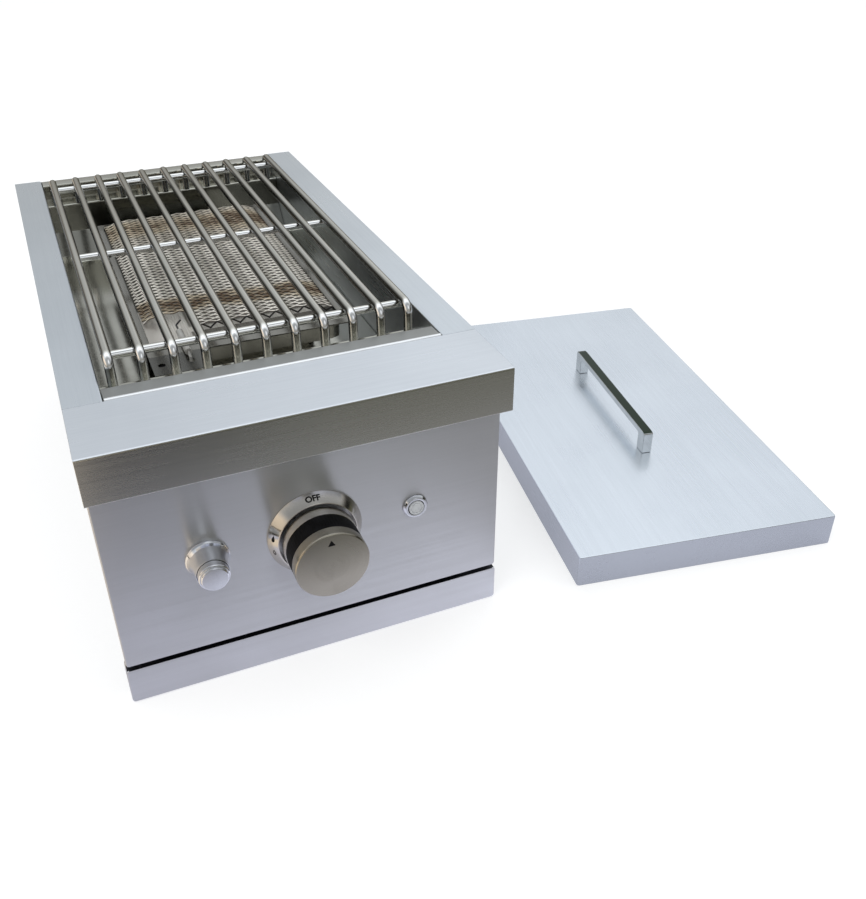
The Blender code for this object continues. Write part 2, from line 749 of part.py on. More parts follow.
def tray_runner(name, side):
    """Angle on the shell's side that the tray's rim slides on."""
    outer = SHELL_HALF - GAUGE - FIT
    shelf = TRAY_LIFT + TRAY_DEPTH - GAUGE - FIT
    inner = tray_rim_half() - RUNNER_OVERLAP
    places = [(side * inner, shelf - GAUGE), (side * outer, shelf - GAUGE),
              (side * outer, shelf + RUNNER_LEG)]
    section = sheet_section(places[::-1] if side > 0 else places)
    rear = RUNNER_SETBACK + RUNNER_LENGTH
    piece(name, prism(section, back(RUNNER_SETBACK), back(rear), "Y"), "galvanised")


def burner_box():
    """Drawn burner body: turned rim, wall, shelf for the plaques and a deep mixing pan."""
    front, rear = back(BURNER_SETBACK), back(BURNER_REAR)
    wall_front, wall_rear = back(BOX_WALL_FRONT), back(BOX_WALL_REAR)
    inner_half = BOX_WALL_HALF - SHELF_WIDTH
    inner_front, inner_rear = wall_front + SHELF_WIDTH, wall_rear - SHELF_WIDTH
    rim, shelf, bottom = down(BURNER_RIM_DROP), down(SHELF_DROP), down(BOX_BOTTOM_DROP)
    corner = BURNER_CORNER
    levels = [
        (inner_half, inner_front, inner_rear, corner, bottom),
        (inner_half, inner_front, inner_rear, corner, shelf - GAUGE),
        (BOX_WALL_HALF, wall_front, wall_rear, corner, shelf - GAUGE),
        (BOX_WALL_HALF, wall_front, wall_rear, corner, rim - GAUGE),
        (BURNER_HALF_WIDTH, front, rear, BEND, rim - GAUGE),
        (BURNER_HALF_WIDTH, front, rear, BEND, rim),
        (BOX_WALL_HALF - GAUGE, wall_front + GAUGE, wall_rear - GAUGE, corner - GAUGE, rim),
        (BOX_WALL_HALF - GAUGE, wall_front + GAUGE, wall_rear - GAUGE, corner - GAUGE, shelf),
        (inner_half - GAUGE, inner_front + GAUGE, inner_rear - GAUGE, corner - GAUGE, shelf),
        (inner_half - GAUGE, inner_front + GAUGE, inner_rear - GAUGE, corner - GAUGE, bottom + GAUGE),
    ]
    box = piece("burner_box", skin(bounded_rings(levels)), "tub_steel")
    drill(box, (0, 0, -1), (0, back(MIXER_RISER_SETBACK), bottom + GAUGE), GAUGE, MIXER_RADIUS + FIT,
          sides=MIXER_SIDES)


def burner_support(name, setback):
    """Hat channel that carries the burner box on the tub's floor."""
    low, high = down(WELL_DROP) + FIT, down(BOX_BOTTOM_DROP) - FIT
    middle = back(setback)
    top = SUPPORT_TOP_WIDTH / 2
    foot = top + SUPPORT_FOOT
    places = [(middle - foot, low + GAUGE), (middle - top, low + GAUGE), (middle - top, high),
              (middle + top, high), (middle + top, low + GAUGE), (middle + foot, low + GAUGE)]
    piece(name, prism(sheet_section(places), -SUPPORT_HALF_LENGTH, SUPPORT_HALF_LENGTH, "X"), "galvanised")


def ceramic_plaques():
    """Three porous ceramic plaques in a row, with their gasket and retaining frame."""
    front, rear = back(PLAQUE_FRONT), back(PLAQUE_REAR)
    length = (rear - front - (PLAQUE_COUNT - 1) * FIT) / PLAQUE_COUNT
    for index, name in enumerate(("plaque_front", "plaque_middle", "plaque_rear")):
        start = front + index * (length + FIT)
        outline = rectangle(-PLAQUE_HALF_WIDTH, PLAQUE_HALF_WIDTH, start, start + length)
        piece(name, prism(outline, down(PLAQUE_BOTTOM_DROP), down(PLAQUE_DROP), "Z"), "ceramic")
    high = down(GASKET_DROP)
    low = high - GASKET_THICKNESS
    inner = (PLAQUE_HALF_WIDTH - GASKET_OVERLAP, front + GASKET_OVERLAP, rear - GASKET_OVERLAP, BEND)
    outer = (PLAQUE_HALF_WIDTH + GASKET_OVERLAP, front - GASKET_OVERLAP, rear + GASKET_OVERLAP, BEND)
    rings = bounded_rings([(*outer, low), (*outer, high), (*inner, high), (*inner, low)])
    piece("plaque_gasket", skin(rings, closed=True), "gasket")


def plaque_frame():
    """Angle ring that holds the plaques down and carries the edges of the screen."""
    play = GAUGE + FIT
    half, front, rear = BOX_WALL_HALF - play, back(BOX_WALL_FRONT + play), back(BOX_WALL_REAR - play)
    high = down(FRAME_DROP)
    low = down(SHELF_DROP) + FIT
    corner = BURNER_CORNER - play
    outer = (half, front, rear, corner)
    leg = (half - GAUGE, front + GAUGE, rear - GAUGE, corner - GAUGE)
    lip = (PLAQUE_HALF_WIDTH - FRAME_LIP, back(PLAQUE_FRONT + FRAME_LIP), back(PLAQUE_REAR - FRAME_LIP), BEND)
    rings = bounded_rings([(*outer, low), (*outer, high), (*lip, high), (*lip, high - GAUGE),
                           (*leg, high - GAUGE), (*leg, low)])
    piece("plaque_frame", skin(rings, closed=True), "tub_steel")


def screen_height(x):
    """Height of the screen's top over the width: flat, with a band sloping down on each side."""
    edge = down(FRAME_DROP) + FIT + SCREEN_THICKNESS
    fall = (down(SCREEN_DROP) - edge) / SCREEN_BAND_RUN
    return down(SCREEN_DROP) - max(0, abs(x) - SCREEN_FLAT_HALF) * fall


def screen_cell(mesh, shared, column, row, pitch_x, pitch_y, middle_y):
    """One diamond of expanded metal: its rim on both faces and the wall of its gap."""
    corners = ((-1, 0), (0, -1), (1, 0), (0, 1))
    centre_x = column * pitch_x
    centre_y = middle_y + row * pitch_y
    rims = []
    gaps = []
    for thickness in (0, SCREEN_THICKNESS):
        rim = []
        gap = []
        for step_x, step_y in corners:
            key = (column + step_x, row + step_y, thickness)
            if key not in shared:
                x, y = key[0] * pitch_x, middle_y + key[1] * pitch_y
                shared[key] = mesh.verts.new((x, y, screen_height(x) - thickness))
            rim.append(shared[key])
            x = centre_x + step_x * pitch_x * (1 - STRAND_SHARE)
            y = centre_y + step_y * pitch_y * (1 - STRAND_SHARE)
            gap.append(mesh.verts.new((x, y, screen_height(x) - thickness)))
        rims.append(rim)
        gaps.append(gap)
    for index in range(4):
        after = (index + 1) % 4
        mesh.faces.new((rims[0][index], rims[0][after], gaps[0][after], gaps[0][index]))
        mesh.faces.new((rims[1][after], rims[1][index], gaps[1][index], gaps[1][after]))
        mesh.faces.new((gaps[0][index], gaps[0][after], gaps[1][after], gaps[1][index]))
    return rims


def burner_screen():
    """Expanded-metal screen over the plaques, with zigzag edges and a notch for the electrode."""
    half = SCREEN_FLAT_HALF + SCREEN_BAND_RUN
    front = back(BOX_WALL_FRONT + GAUGE + SCREEN_FRONT_GAP)
    rear = back(BOX_WALL_REAR - GAUGE - SCREEN_REAR_GAP)
    pitch_x = 2 * half / (SCREEN_COLUMNS + 1)
    pitch_y = (rear - front) / (SCREEN_ROWS + 1)
    middle_y = (front + rear) / 2
    last_column, last_row = (SCREEN_COLUMNS - 1) // 2, (SCREEN_ROWS - 1) // 2
    mesh = bmesh.new()
    shared = {}
    used = {}
    for column in range(-last_column, last_column + 1):
        for row in range(-last_row, last_row + 1):
            notched = column < CUTOUT_COLUMNS - last_column and row < CUTOUT_ROWS - last_row
            if (column + row) % 2 or notched:
                continue
            rims = screen_cell(mesh, shared, column, row, pitch_x, pitch_y, middle_y)
            for index in range(4):
                after = (index + 1) % 4
                key = frozenset((rims[0][index], rims[0][after]))
                wall = (rims[0][after], rims[0][index], rims[1][index], rims[1][after])
                used[key] = None if key in used else wall
    for wall in used.values():
        if wall:
            mesh.faces.new(wall)
    bmesh.ops.recalc_face_normals(mesh, faces=mesh.faces)
    piece("burner_screen", mesh, "screen_metal")


def electrode_x():
    """Middle of the electrode across the burner."""
    return ELECTRODE_INSET - BURNER_HALF_WIDTH


def electrode_z():
    """Axis height of the insulator, which lies on the box's front rim."""
    return down(BURNER_RIM_DROP) + FIT + INSULATOR_RADIUS


def plate_lead_y():
    """Where the lead rises through the electrode plate."""
    return back(BURNER_SETBACK - FIT - PLATE_DEPTH / 2)


def lead_floor_point():
    """Hole in the tub's floor that the lead comes up through."""
    setback = WELL_FRONT + SLOPE_RUN + TUB_HOLE_FLOOR_INSET
    return (TUB_HOLE_SIDE_INSET - OPENING_HALF, back(setback), down(WELL_DROP))


def spark_electrode():
    """Electrode plate in front of the box, ceramic insulator and hooked wire."""
    rear = back(BURNER_SETBACK - FIT)
    left = -BURNER_HALF_WIDTH
    top = down(BURNER_RIM_DROP)
    outline = rectangle(left, left + 2 * PLATE_HALF_WIDTH, rear - PLATE_DEPTH, rear)
    plate = piece("electrode_plate", prism(outline, top - GAUGE, top, "Z"), "brushed_steel")
    screw_hole = (left + PLATE_HOLE_INSET, plate_lead_y(), top)
    drill(plate, (0, 0, -1), screw_hole, GAUGE, PLATE_HOLE)
    drill(plate, (0, 0, -1), (electrode_x(), plate_lead_y(), top), GAUGE, LEAD_HOLE)
    x, z = electrode_x(), electrode_z()
    start = rear - INSULATOR_OVERHANG
    end = start + INSULATOR_LENGTH
    run = [Vector((x, start, z)), Vector((x, end, z))]
    outer = tube_rings(run, [INSULATOR_RADIUS] * 2, HOLE_SIDES)
    inner = tube_rings(run, [INSULATOR_BORE] * 2, HOLE_SIDES)
    piece("electrode_insulator", skin(outer + inner[::-1], closed=True), "insulator")
    wire = [Vector((x, start, z)), Vector((x, end + PIN_REACH, z)),
            Vector((x + PIN_HOOK_SIDE, end + PIN_REACH + PIN_HOOK_REACH, z))]
    path = rounded_path(wire, [PIN_BEND], BEND_STEPS)
    piece("electrode_pin", rod(path, PIN_RADIUS, 6), "rod_steel")


def smooth_route(points, step):
    """Points along a smooth curve through a route, about one step apart."""
    padded = [points[0] * 2 - points[1], *points, points[-1] * 2 - points[-2]]
    route = []
    for index in range(len(points) - 1):
        p0, p1, p2, p3 = padded[index:index + 4]
        count = max(1, round((p2 - p1).length / step))
        for part in range(count):
            t = part / count
            route.append((p1 * 2 + (p2 - p0) * t + (p0 * 2 - p1 * 5 + p2 * 4 - p3) * t ** 2
                          + (p1 * 3 - p0 - p2 * 3 + p3) * t ** 3) / 2)
    route.append(points[-1])
    return route


def ignition_lead():
    """High-voltage lead from the igniter's terminal to the electrode's wire."""
    start_y = PANEL_SETBACK + IGNITER_BARREL_LENGTH + IGNITER_TERMINAL_LENGTH + FIT
    floor = Vector(lead_floor_point())
    height = down(CONTROL_DROP)
    x, y, z = electrode_x(), plate_lead_y(), electrode_z()
    end_y = back(BURNER_SETBACK - FIT) - INSULATOR_OVERHANG - FIT
    below = Vector((0, 0, -LEAD_BEND))
    points = [
        Vector((-CONTROL_SPACING, back(start_y), height)),
        Vector((-CONTROL_SPACING, back(SHIELD_SETBACK + 2 * LEAD_BEND), height)),
        Vector((-CONTROL_SPACING, back(FRONT_WALL + 2 * LEAD_BEND), height + LEAD_BEND)),
        floor + below * 4 - Vector((LEAD_BEND, 2 * LEAD_BEND, 0)),
        floor + below,
        floor - below,
        Vector((x, y, z)) + below * 3,
        Vector((x, y, z)) + below,
        Vector((x, y + LEAD_BEND / 4, z)) + below / 4,
        Vector((x, end_y, z)),
    ]
    curve = bpy.data.curves.new("ignition_lead", "CURVE")
    curve.dimensions = "3D"
    curve.bevel_depth = LEAD_RADIUS
    curve.bevel_resolution = 2
    curve.use_fill_caps = True
    route = smooth_route(points, LEAD_STEP)
    spline = curve.splines.new("POLY")
    spline.points.add(len(route) - 1)
    for point, place in zip(spline.points, route):
        point.co = (*place, 1)
    item = bpy.data.objects.new("ignition_lead", curve)
    curve.materials.append(material_of("ignition_lead", "lead_sleeve"))
    bpy.context.scene.collection.objects.link(item)


def control_place(name, x):
    """Empty on a control's axis at the panel's face, with +Z towards the user."""
    return place_empty(name, (x, back(PANEL_SETBACK), down(CONTROL_DROP)), (math.pi / 2, 0, 0))


def knob_and_valve():
    """Bezel, three-part knob on its stem, and the valve behind the panel."""
    place = control_place("valve_axis", 0)
    crest = BEZEL_BORE + BEZEL_CREST
    bezel = [(BEZEL_BORE, FIT), (BEZEL_RADIUS, FIT), (BEZEL_RADIUS, FIT + BEZEL_LIP),
             (crest, BEZEL_HEIGHT), (BEZEL_BORE, BEZEL_HEIGHT)]
    piece("knob_bezel", turned(bezel, KNOB_SIDES), "bezel_steel", place)
    inner = BAND_RADIUS - KNOB_WALL
    ring_end = BASE_RING_START + BASE_RING_HEIGHT
    ring = [(inner, BASE_RING_START), (BASE_RING_RADIUS, BASE_RING_START), (BASE_RING_RADIUS, ring_end),
            (inner, ring_end)]
    piece("knob_base_ring", turned(ring, KNOB_SIDES), "chrome", place)
    band_start = ring_end + FIT
    band_end = band_start + BAND_HEIGHT
    band = [(inner, band_start), (BAND_RADIUS, band_start), (BAND_RADIUS, band_end), (inner, band_end)]
    piece("knob_grip_band", turned(band, KNOB_SIDES), "black_grip", place)
    cap_start = band_end + FIT
    cap_end = cap_start + CAP_HEIGHT
    roof = cap_end - CAP_CROWN
    bore = STEM_RADIUS + FIT
    cap = [(0, STEM_REACH + FIT), (bore, STEM_REACH + FIT), (bore, HUB_START), (HUB_RADIUS, HUB_START),
           (HUB_RADIUS, roof), (inner, roof), (inner, cap_start), (BAND_RADIUS, cap_start),
           (BAND_RADIUS, cap_end - CAP_CHAMFER_HEIGHT), (BAND_RADIUS - CAP_CHAMFER, cap_end), (0, cap_end)]
    piece("knob_cap", turned(cap, KNOB_SIDES), "knob_steel", place)
    stem = [(0, -STEM_TAIL), (STEM_RADIUS, -STEM_TAIL), (STEM_RADIUS, STEM_REACH), (0, STEM_REACH)]
    piece("valve_stem", turned(stem, HOLE_SIDES), "brass", place)
    mouth = -VALVE_SETBACK
    bore_end = mouth - VALVE_BORE_DEPTH
    rear = mouth - VALVE_LENGTH
    body = [(0, bore_end), (VALVE_BORE, bore_end), (VALVE_BORE, mouth), (VALVE_RADIUS, mouth),
            (VALVE_RADIUS, rear), (0, rear)]
    valve = piece("valve_body", turned(body, HOLE_SIDES), "brass", place)
    manifold_y = back(MANIFOLD_SETBACK)
    neck_top = Vector((0, manifold_y, down(CONTROL_DROP) - (VALVE_BORE + VALVE_RADIUS) / 2))
    neck_end = Vector((0, manifold_y, down(MANIFOLD_DROP - MANIFOLD_RADIUS) + FIT))
    combine(valve, rod([neck_top, neck_end], VALVE_NECK, HOLE_SIDES), "UNION")
    plug_front = mouth - PLUG_END_PLAY
    plug_rear = bore_end + FIT
    socket = plug_front - PLUG_SOCKET_DEPTH
    radius = VALVE_BORE - FIT
    plug = [(0, socket), (bore, socket), (bore, plug_front), (radius, plug_front), (radius, plug_rear),
            (0, plug_rear)]
    piece("valve_plug", turned(plug, HOLE_SIDES), "brass", place)
    spud_start = rear - FIT
    spud_hex = spud_start - SPUD_HEX_LENGTH
    spud_end = PANEL_SETBACK - MIXER_SETBACK - SPUD_ENTRY
    hexagonal, shank, passage = hexagon(SPUD_HEX), circle(SPUD_RADIUS, 12), circle(SPUD_BORE, 12)
    shapes = ((hexagonal, spud_start), (hexagonal, spud_hex), (shank, spud_hex), (shank, spud_end),
              (passage, spud_end), (passage, spud_start))
    rings = [[(u, v, level) for u, v in shape] for shape, level in shapes]
    piece("orifice_spud", skin(rings, closed=True), "brass", place)


def mixer():
    """Venturi tube with its elbow up into the box, and the air shutter on its mouth."""
    axis_z = down(CONTROL_DROP)
    mouth = back(MIXER_SETBACK)
    riser = back(MIXER_RISER_SETBACK)
    stations = [(0, MIXER_MOUTH_RADIUS), (MIXER_COLLAR, MIXER_MOUTH_RADIUS),
                (MIXER_TAPER, MIXER_THROAT_RADIUS), (MIXER_THROAT, MIXER_THROAT_RADIUS),
                (MIXER_DIFFUSER, MIXER_RADIUS)]
    path = []
    radii = []
    y = mouth
    for run, radius in stations:
        y += run
        path.append(Vector((0, y, axis_z)))
        radii.append(radius)
    corner = Vector((0, riser, axis_z))
    top = Vector((0, riser, down(BOX_BOTTOM_DROP) + MIXER_ENTRY))
    elbow = corner_arc(path[-1], corner, top, MIXER_ELBOW, 5)
    path += [*elbow, top]
    radii += [MIXER_RADIUS] * (len(elbow) + 1)
    outer = tube_rings(path, radii, MIXER_SIDES)
    inner = tube_rings(path, [radius - MIXER_WALL for radius in radii], MIXER_SIDES)
    piece("mixer_tube", skin(outer + inner[::-1], closed=True), "cast_iron")
    place = place_empty("mixer_axis", (0, mouth, axis_z), (-math.pi / 2, 0, 0))
    bore = SPUD_RADIUS + FIT
    inside = MIXER_MOUTH_RADIUS + FIT
    outside = inside + SHUTTER_WALL
    face = -FIT - SHUTTER_WALL
    cup = [(bore, face), (outside, face), (outside, SHUTTER_LENGTH), (inside, SHUTTER_LENGTH), (inside, -FIT),
           (bore, -FIT)]
    shutter = piece("air_shutter", turned(cup, 2 * MIXER_SIDES), "galvanised", place)
    for side in (-1, 1):
        centre = (side * SHUTTER_WINDOW_OFFSET, 0, face)
        drill(shutter, (0, 0, 1), centre, SHUTTER_WALL, SHUTTER_WINDOW, place, MIXER_SIDES)


def gas_supply():
    """Manifold on its two brackets, the tube to the rear and the inlet fitting."""
    y, z = back(MANIFOLD_SETBACK), down(MANIFOLD_DROP)
    ends = [Vector((-MANIFOLD_HALF_LENGTH, y, z)), Vector((MANIFOLD_HALF_LENGTH, y, z))]
    piece("manifold_tube", rod(ends, MANIFOLD_RADIUS, MANIFOLD_SIDES), "galvanised")
    plate_y = y + MANIFOLD_RADIUS + FIT
    outer = SHELL_HALF - GAUGE - FIT
    inner = MANIFOLD_HALF_LENGTH - MANIFOLD_BRACKET_OVERLAP
    half_height = MANIFOLD_BRACKET_HEIGHT / 2
    for name, side in (("manifold_bracket_left", -1), ("manifold_bracket_right", 1)):
        places = [(side * inner, plate_y + GAUGE), (side * outer, plate_y + GAUGE),
                  (side * outer, plate_y + GAUGE - MANIFOLD_BRACKET_LEG)]
        section = sheet_section(places if side > 0 else places[::-1])
        plate = piece(name, prism(section, z - half_height, z + half_height, "Z"), "galvanised")
        if side > 0:
            drill(plate, (0, 1, 0), (INLET_TUBE_X, plate_y, z), GAUGE, INLET_TUBE_RADIUS + FIT)
    tube_end = back(SHELL_REAR - FITTING_INSIDE - FIT)
    corners = [Vector((MANIFOLD_HALF_LENGTH + FIT, y, z)), Vector((INLET_TUBE_X, y, z)),
               Vector((INLET_TUBE_X, tube_end, z))]
    path = rounded_path(corners, [MANIFOLD_RADIUS], 4)
    piece("gas_inlet_tube", rod(path, INLET_TUBE_RADIUS, MIXER_SIDES), "brass")
    place = place_empty("inlet_place", (INLET_TUBE_X, back(DEPTH), z), (-math.pi / 2, 0, 0))
    inside = -(DEPTH - SHELL_REAR) - FITTING_INSIDE
    hex_end = FIT + FITTING_HEX_LENGTH
    outside = hex_end + FITTING_OUTSIDE
    shank, hexagonal, bore = circle(FITTING_RADIUS, 12), hexagon(FITTING_HEX), circle(FITTING_BORE, 12)
    shapes = ((shank, inside), (shank, FIT), (hexagonal, FIT), (hexagonal, hex_end), (shank, hex_end),
              (shank, outside), (bore, outside), (bore, inside))
    rings = [[(u, v, level) for u, v in shape] for shape, level in shapes]
    piece("inlet_fitting", skin(rings, closed=True), "brass", place)


def control_nut(name, radius, bore, parent):
    """Hexagon nut that clamps a control behind the panel."""
    high = -GAUGE - FIT
    low = high - NUT_HEIGHT
    shapes = ((hexagon(radius), low), (hexagon(radius), high), (circle(bore, 12, 0), high),
              (circle(bore, 12, 0), low))
    rings = [[(u, v, level) for u, v in shape] for shape, level in shapes]
    piece(name, skin(rings, closed=True), "brass", parent)


def igniter():
    """Push igniter: conical bezel, stepped button, barrel with its terminal, and nut."""
    place = control_place("igniter_axis", -CONTROL_SPACING)
    bore = IGNITER_BUTTON + FIT
    bezel = [(bore, FIT), (IGNITER_FLANGE, FIT), (IGNITER_FLANGE, FIT + IGNITER_FLANGE_LIP),
             (IGNITER_CREST, IGNITER_SHOULDER), (bore + IGNITER_EDGE, IGNITER_HEIGHT), (bore, IGNITER_HEIGHT)]
    piece("igniter_bezel", turned(bezel, CONTROL_SIDES), "chrome", place)
    pin_end = IGNITER_BUTTON_START - IGNITER_PIN_LENGTH
    face = IGNITER_BUTTON_END + IGNITER_FACE_HEIGHT
    button = [(0, pin_end), (IGNITER_PIN, pin_end), (IGNITER_PIN, IGNITER_BUTTON_START),
              (IGNITER_BUTTON, IGNITER_BUTTON_START),
              (IGNITER_BUTTON, IGNITER_BUTTON_END - IGNITER_EDGE),
              (IGNITER_BUTTON - IGNITER_EDGE, IGNITER_BUTTON_END),
              (IGNITER_FACE_RADIUS, IGNITER_BUTTON_END), (IGNITER_FACE_RADIUS, face - IGNITER_EDGE),
              (IGNITER_FACE_RADIUS - IGNITER_EDGE, face), (0, face)]
    piece("igniter_button", turned(button, CONTROL_SIDES), "chrome", place)
    pin_bore = IGNITER_PIN + FIT
    rear = -IGNITER_BARREL_LENGTH
    tip = rear - IGNITER_TERMINAL_LENGTH
    bore_end = FIT - IGNITER_BARREL_BORE_DEPTH
    barrel = [(0, bore_end), (pin_bore, bore_end), (pin_bore, FIT), (IGNITER_BARREL, FIT),
              (IGNITER_BARREL, rear), (IGNITER_TERMINAL, rear), (IGNITER_TERMINAL, tip), (0, tip)]
    piece("igniter_body", turned(barrel, HOLE_SIDES), "black_grip", place)
    control_nut("igniter_nut", IGNITER_NUT, nut_bore(IGNITER_BARREL), place)


def nut_bore(radius):
    """Corner radius of a 12-sided bore whose flats clear a round barrel."""
    return (radius + FIT) / math.cos(math.pi / 12)


def light_switch():
    """Push switch for the light: ring bezel, short button, barrel and nut."""
    place = control_place("switch_axis", CONTROL_SPACING)
    bore = SWITCH_BUTTON + FIT
    bezel = [(bore, FIT), (SWITCH_FLANGE, FIT), (SWITCH_FLANGE, FIT + SWITCH_FLANGE_LIP),
             (SWITCH_CREST, SWITCH_HEIGHT), (bore, SWITCH_HEIGHT)]
    piece("switch_bezel", turned(bezel, CONTROL_SIDES), "chrome", place)
    pin_end = SWITCH_BUTTON_START - SWITCH_PIN_LENGTH
    button = [(0, pin_end), (SWITCH_PIN, pin_end), (SWITCH_PIN, SWITCH_BUTTON_START),
              (SWITCH_BUTTON, SWITCH_BUTTON_START), (SWITCH_BUTTON, SWITCH_BUTTON_FACE),
              (0, SWITCH_BUTTON_FACE)]
    piece("switch_button", turned(button, CONTROL_SIDES), "switch_button", place)
    pin_bore = SWITCH_PIN + FIT
    rear = -SWITCH_BARREL_LENGTH
    bore_end = FIT - SWITCH_BARREL_BORE_DEPTH
    barrel = [(0, bore_end), (pin_bore, bore_end), (pin_bore, FIT), (SWITCH_BARREL, FIT),
              (SWITCH_BARREL, rear), (0, rear)]
    piece("switch_body", turned(barrel, HOLE_SIDES), "black_grip", place)
    control_nut("switch_nut", SWITCH_NUT, nut_bore(SWITCH_BARREL), place)


def grate():
    """Eleven bent round rods welded on three round cross bars."""
    front, rear = back(FRONT_WALL + GRATE_FRONT_PLAY), back(REAR_WALL - GRATE_REAR_PLAY)
    middle = (front + rear) / 2
    foot = down(LEDGE_DROP) + FIT
    place = place_empty("grate_place", (0, middle, foot))
    rise = HEIGHT + ROD_RISE - foot
    half = (rear - front) / 2
    spread = OPENING_HALF - GRATE_SIDE_PLAY
    rods = bmesh.new()
    for index in range(ROD_COUNT):
        x = (2 * index / (ROD_COUNT - 1) - 1) * spread
        corners = [Vector((x, -half, 0)), Vector((x, -half, rise)), Vector((x, half, rise)),
                   Vector((x, half, 0))]
        path = rounded_path(corners, [ROD_BEND] * 2, ROD_BEND_STEPS)
        append(rods, rod(path, ROD_RADIUS, ROD_SIDES))
    item = piece("grate", rods, "rod_steel", place)
    bar_half = spread + BAR_OVERHANG
    bar_z = rise - (ROD_RADIUS + BAR_RADIUS) * math.cos(math.pi / ROD_SIDES) + WELD_SINK
    bars = bmesh.new()
    for y in (BAR_INSET - half, 0, half - BAR_INSET):
        ends = [Vector((-bar_half, y, bar_z)), Vector((bar_half, y, bar_z))]
        append(bars, rod(ends, BAR_RADIUS, ROD_SIDES))
    combine(item, bars, "UNION", place)


def append(target, source):
    """Move the faces of one mesh into another."""
    copy = bpy.data.meshes.new("copy")
    source.to_mesh(copy)
    source.free()
    target.from_mesh(copy)
    bpy.data.meshes.remove(copy)


def lid():
    """Folded lid laid beside the casing, with a bar handle held by two screws."""
    half_width, half_length = LID_WIDTH / 2, LID_LENGTH / 2
    corner = Vector((WIDTH / 2 + LID_ASIDE, back(0)))
    across = Vector((math.cos(LID_TURN), math.sin(LID_TURN)))
    along = Vector((-across.y, across.x))
    centre = corner + across * half_width + along * half_length
    place = place_empty("lid_place", (*centre, 0), (0, 0, LID_TURN))
    top = place_empty("lid_top_place", (0, 0, LID_HEIGHT))
    top.parent = place
    sheet = pan(half_width, half_length, LID_HEIGHT, LID_CORNER, LID_EDGE)
    cover = piece("lid_cover", sheet, "brushed_steel", top)
    half = HANDLE_LENGTH / 2
    under = HANDLE_HEIGHT - HANDLE_BAR
    leg = half - HANDLE_LEG
    corners = [(-half, FIT, 0), (-leg, FIT, 0), (-leg, under, HANDLE_CORNER), (leg, under, HANDLE_CORNER),
               (leg, FIT, 0), (half, FIT, 0), (half, HANDLE_HEIGHT, HANDLE_CORNER),
               (-half, HANDLE_HEIGHT, HANDLE_CORNER)]
    outline = rounded_outline(corners, BEND_STEPS)
    bar = prism(outline, -HANDLE_WIDTH / 2, HANDLE_WIDTH / 2, "X")
    handle = piece("lid_handle", bar, "chrome", top)
    head_top = -GAUGE - FIT
    head_bottom = head_top - SCREW_HEAD_HEIGHT
    tip = FIT + SCREW_DEPTH
    for name, side in (("handle_screw_front", -1), ("handle_screw_rear", 1)):
        y = side * (half - HANDLE_LEG / 2)
        drill(cover, (0, 0, -1), (0, y, 0), GAUGE, SCREW_RADIUS + FIT, top, MIXER_SIDES)
        depth = SCREW_DEPTH + FIT - OVERRUN
        drill(handle, (0, 0, 1), (0, y, FIT), depth, SCREW_RADIUS + FIT, top, MIXER_SIDES)
        profile = [(0, head_bottom), (SCREW_HEAD, head_bottom), (SCREW_HEAD, head_top),
                   (SCREW_RADIUS, head_top), (SCREW_RADIUS, tip), (0, tip)]
        screw = piece(name, turned(profile, MIXER_SIDES), "galvanised", top)
        screw.location = (0, y, 0)


def main():
    """Build the whole side burner."""
    clear_scene()
    side_frame("side_frame_left", -1)
    side_frame("side_frame_right", 1)
    tub_sheet()
    apron()
    control_panel()
    panel_bracket("panel_bracket_left", -1)
    panel_bracket("panel_bracket_right", 1)
    outer_shell()
    rear_panel()
    heat_shield()
    grease_tray()
    tray_runner("tray_runner_left", -1)
    tray_runner("tray_runner_right", 1)
    burner_box()
    burner_support("burner_support_front", FRONT_SUPPORT_SETBACK)
    burner_support("burner_support_rear", REAR_SUPPORT_SETBACK)
    ceramic_plaques()
    plaque_frame()
    burner_screen()
    spark_electrode()
    ignition_lead()
    knob_and_valve()
    mixer()
    gas_supply()
    igniter()
    light_switch()
    grate()
    lid()


main()
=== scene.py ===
"""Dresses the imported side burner: a finish for every sheet, and fuller grate, screen, plaques,
controls, lid and fasteners."""

import json
import logging
import math
from collections.abc import Callable, Mapping, Sequence
from dataclasses import dataclass
from enum import Enum
from functools import cache

import bmesh
import bpy
from mathutils import Euler, Matrix, Vector


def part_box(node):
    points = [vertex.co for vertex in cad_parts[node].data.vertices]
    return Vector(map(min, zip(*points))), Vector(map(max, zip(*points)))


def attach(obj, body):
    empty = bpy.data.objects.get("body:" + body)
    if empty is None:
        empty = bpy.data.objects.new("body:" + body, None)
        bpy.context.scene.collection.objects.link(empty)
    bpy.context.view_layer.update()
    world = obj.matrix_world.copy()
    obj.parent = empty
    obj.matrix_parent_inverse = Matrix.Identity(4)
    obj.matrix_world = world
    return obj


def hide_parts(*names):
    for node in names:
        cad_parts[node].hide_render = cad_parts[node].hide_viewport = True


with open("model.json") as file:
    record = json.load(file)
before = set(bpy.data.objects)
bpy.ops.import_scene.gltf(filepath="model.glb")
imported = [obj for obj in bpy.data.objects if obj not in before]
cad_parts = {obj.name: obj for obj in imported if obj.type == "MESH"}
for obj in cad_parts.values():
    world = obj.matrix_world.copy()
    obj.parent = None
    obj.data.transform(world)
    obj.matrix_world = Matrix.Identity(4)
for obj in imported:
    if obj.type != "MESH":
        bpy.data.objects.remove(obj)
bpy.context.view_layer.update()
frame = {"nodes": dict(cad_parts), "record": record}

LOG = logging.getLogger("side_burner")
Colour = tuple[float, float, float]
Point = tuple[float, float, float]
Pair = tuple[float, float]
Profile = Sequence[Pair]
PANEL_FACE_Y = -0.2875
CONTROL_Z = 0.1233
CONTROL_X = 0.0835
KNOB_AXIS = (0.0, PANEL_FACE_Y, CONTROL_Z)
LID_TURN = math.radians(-9.23)
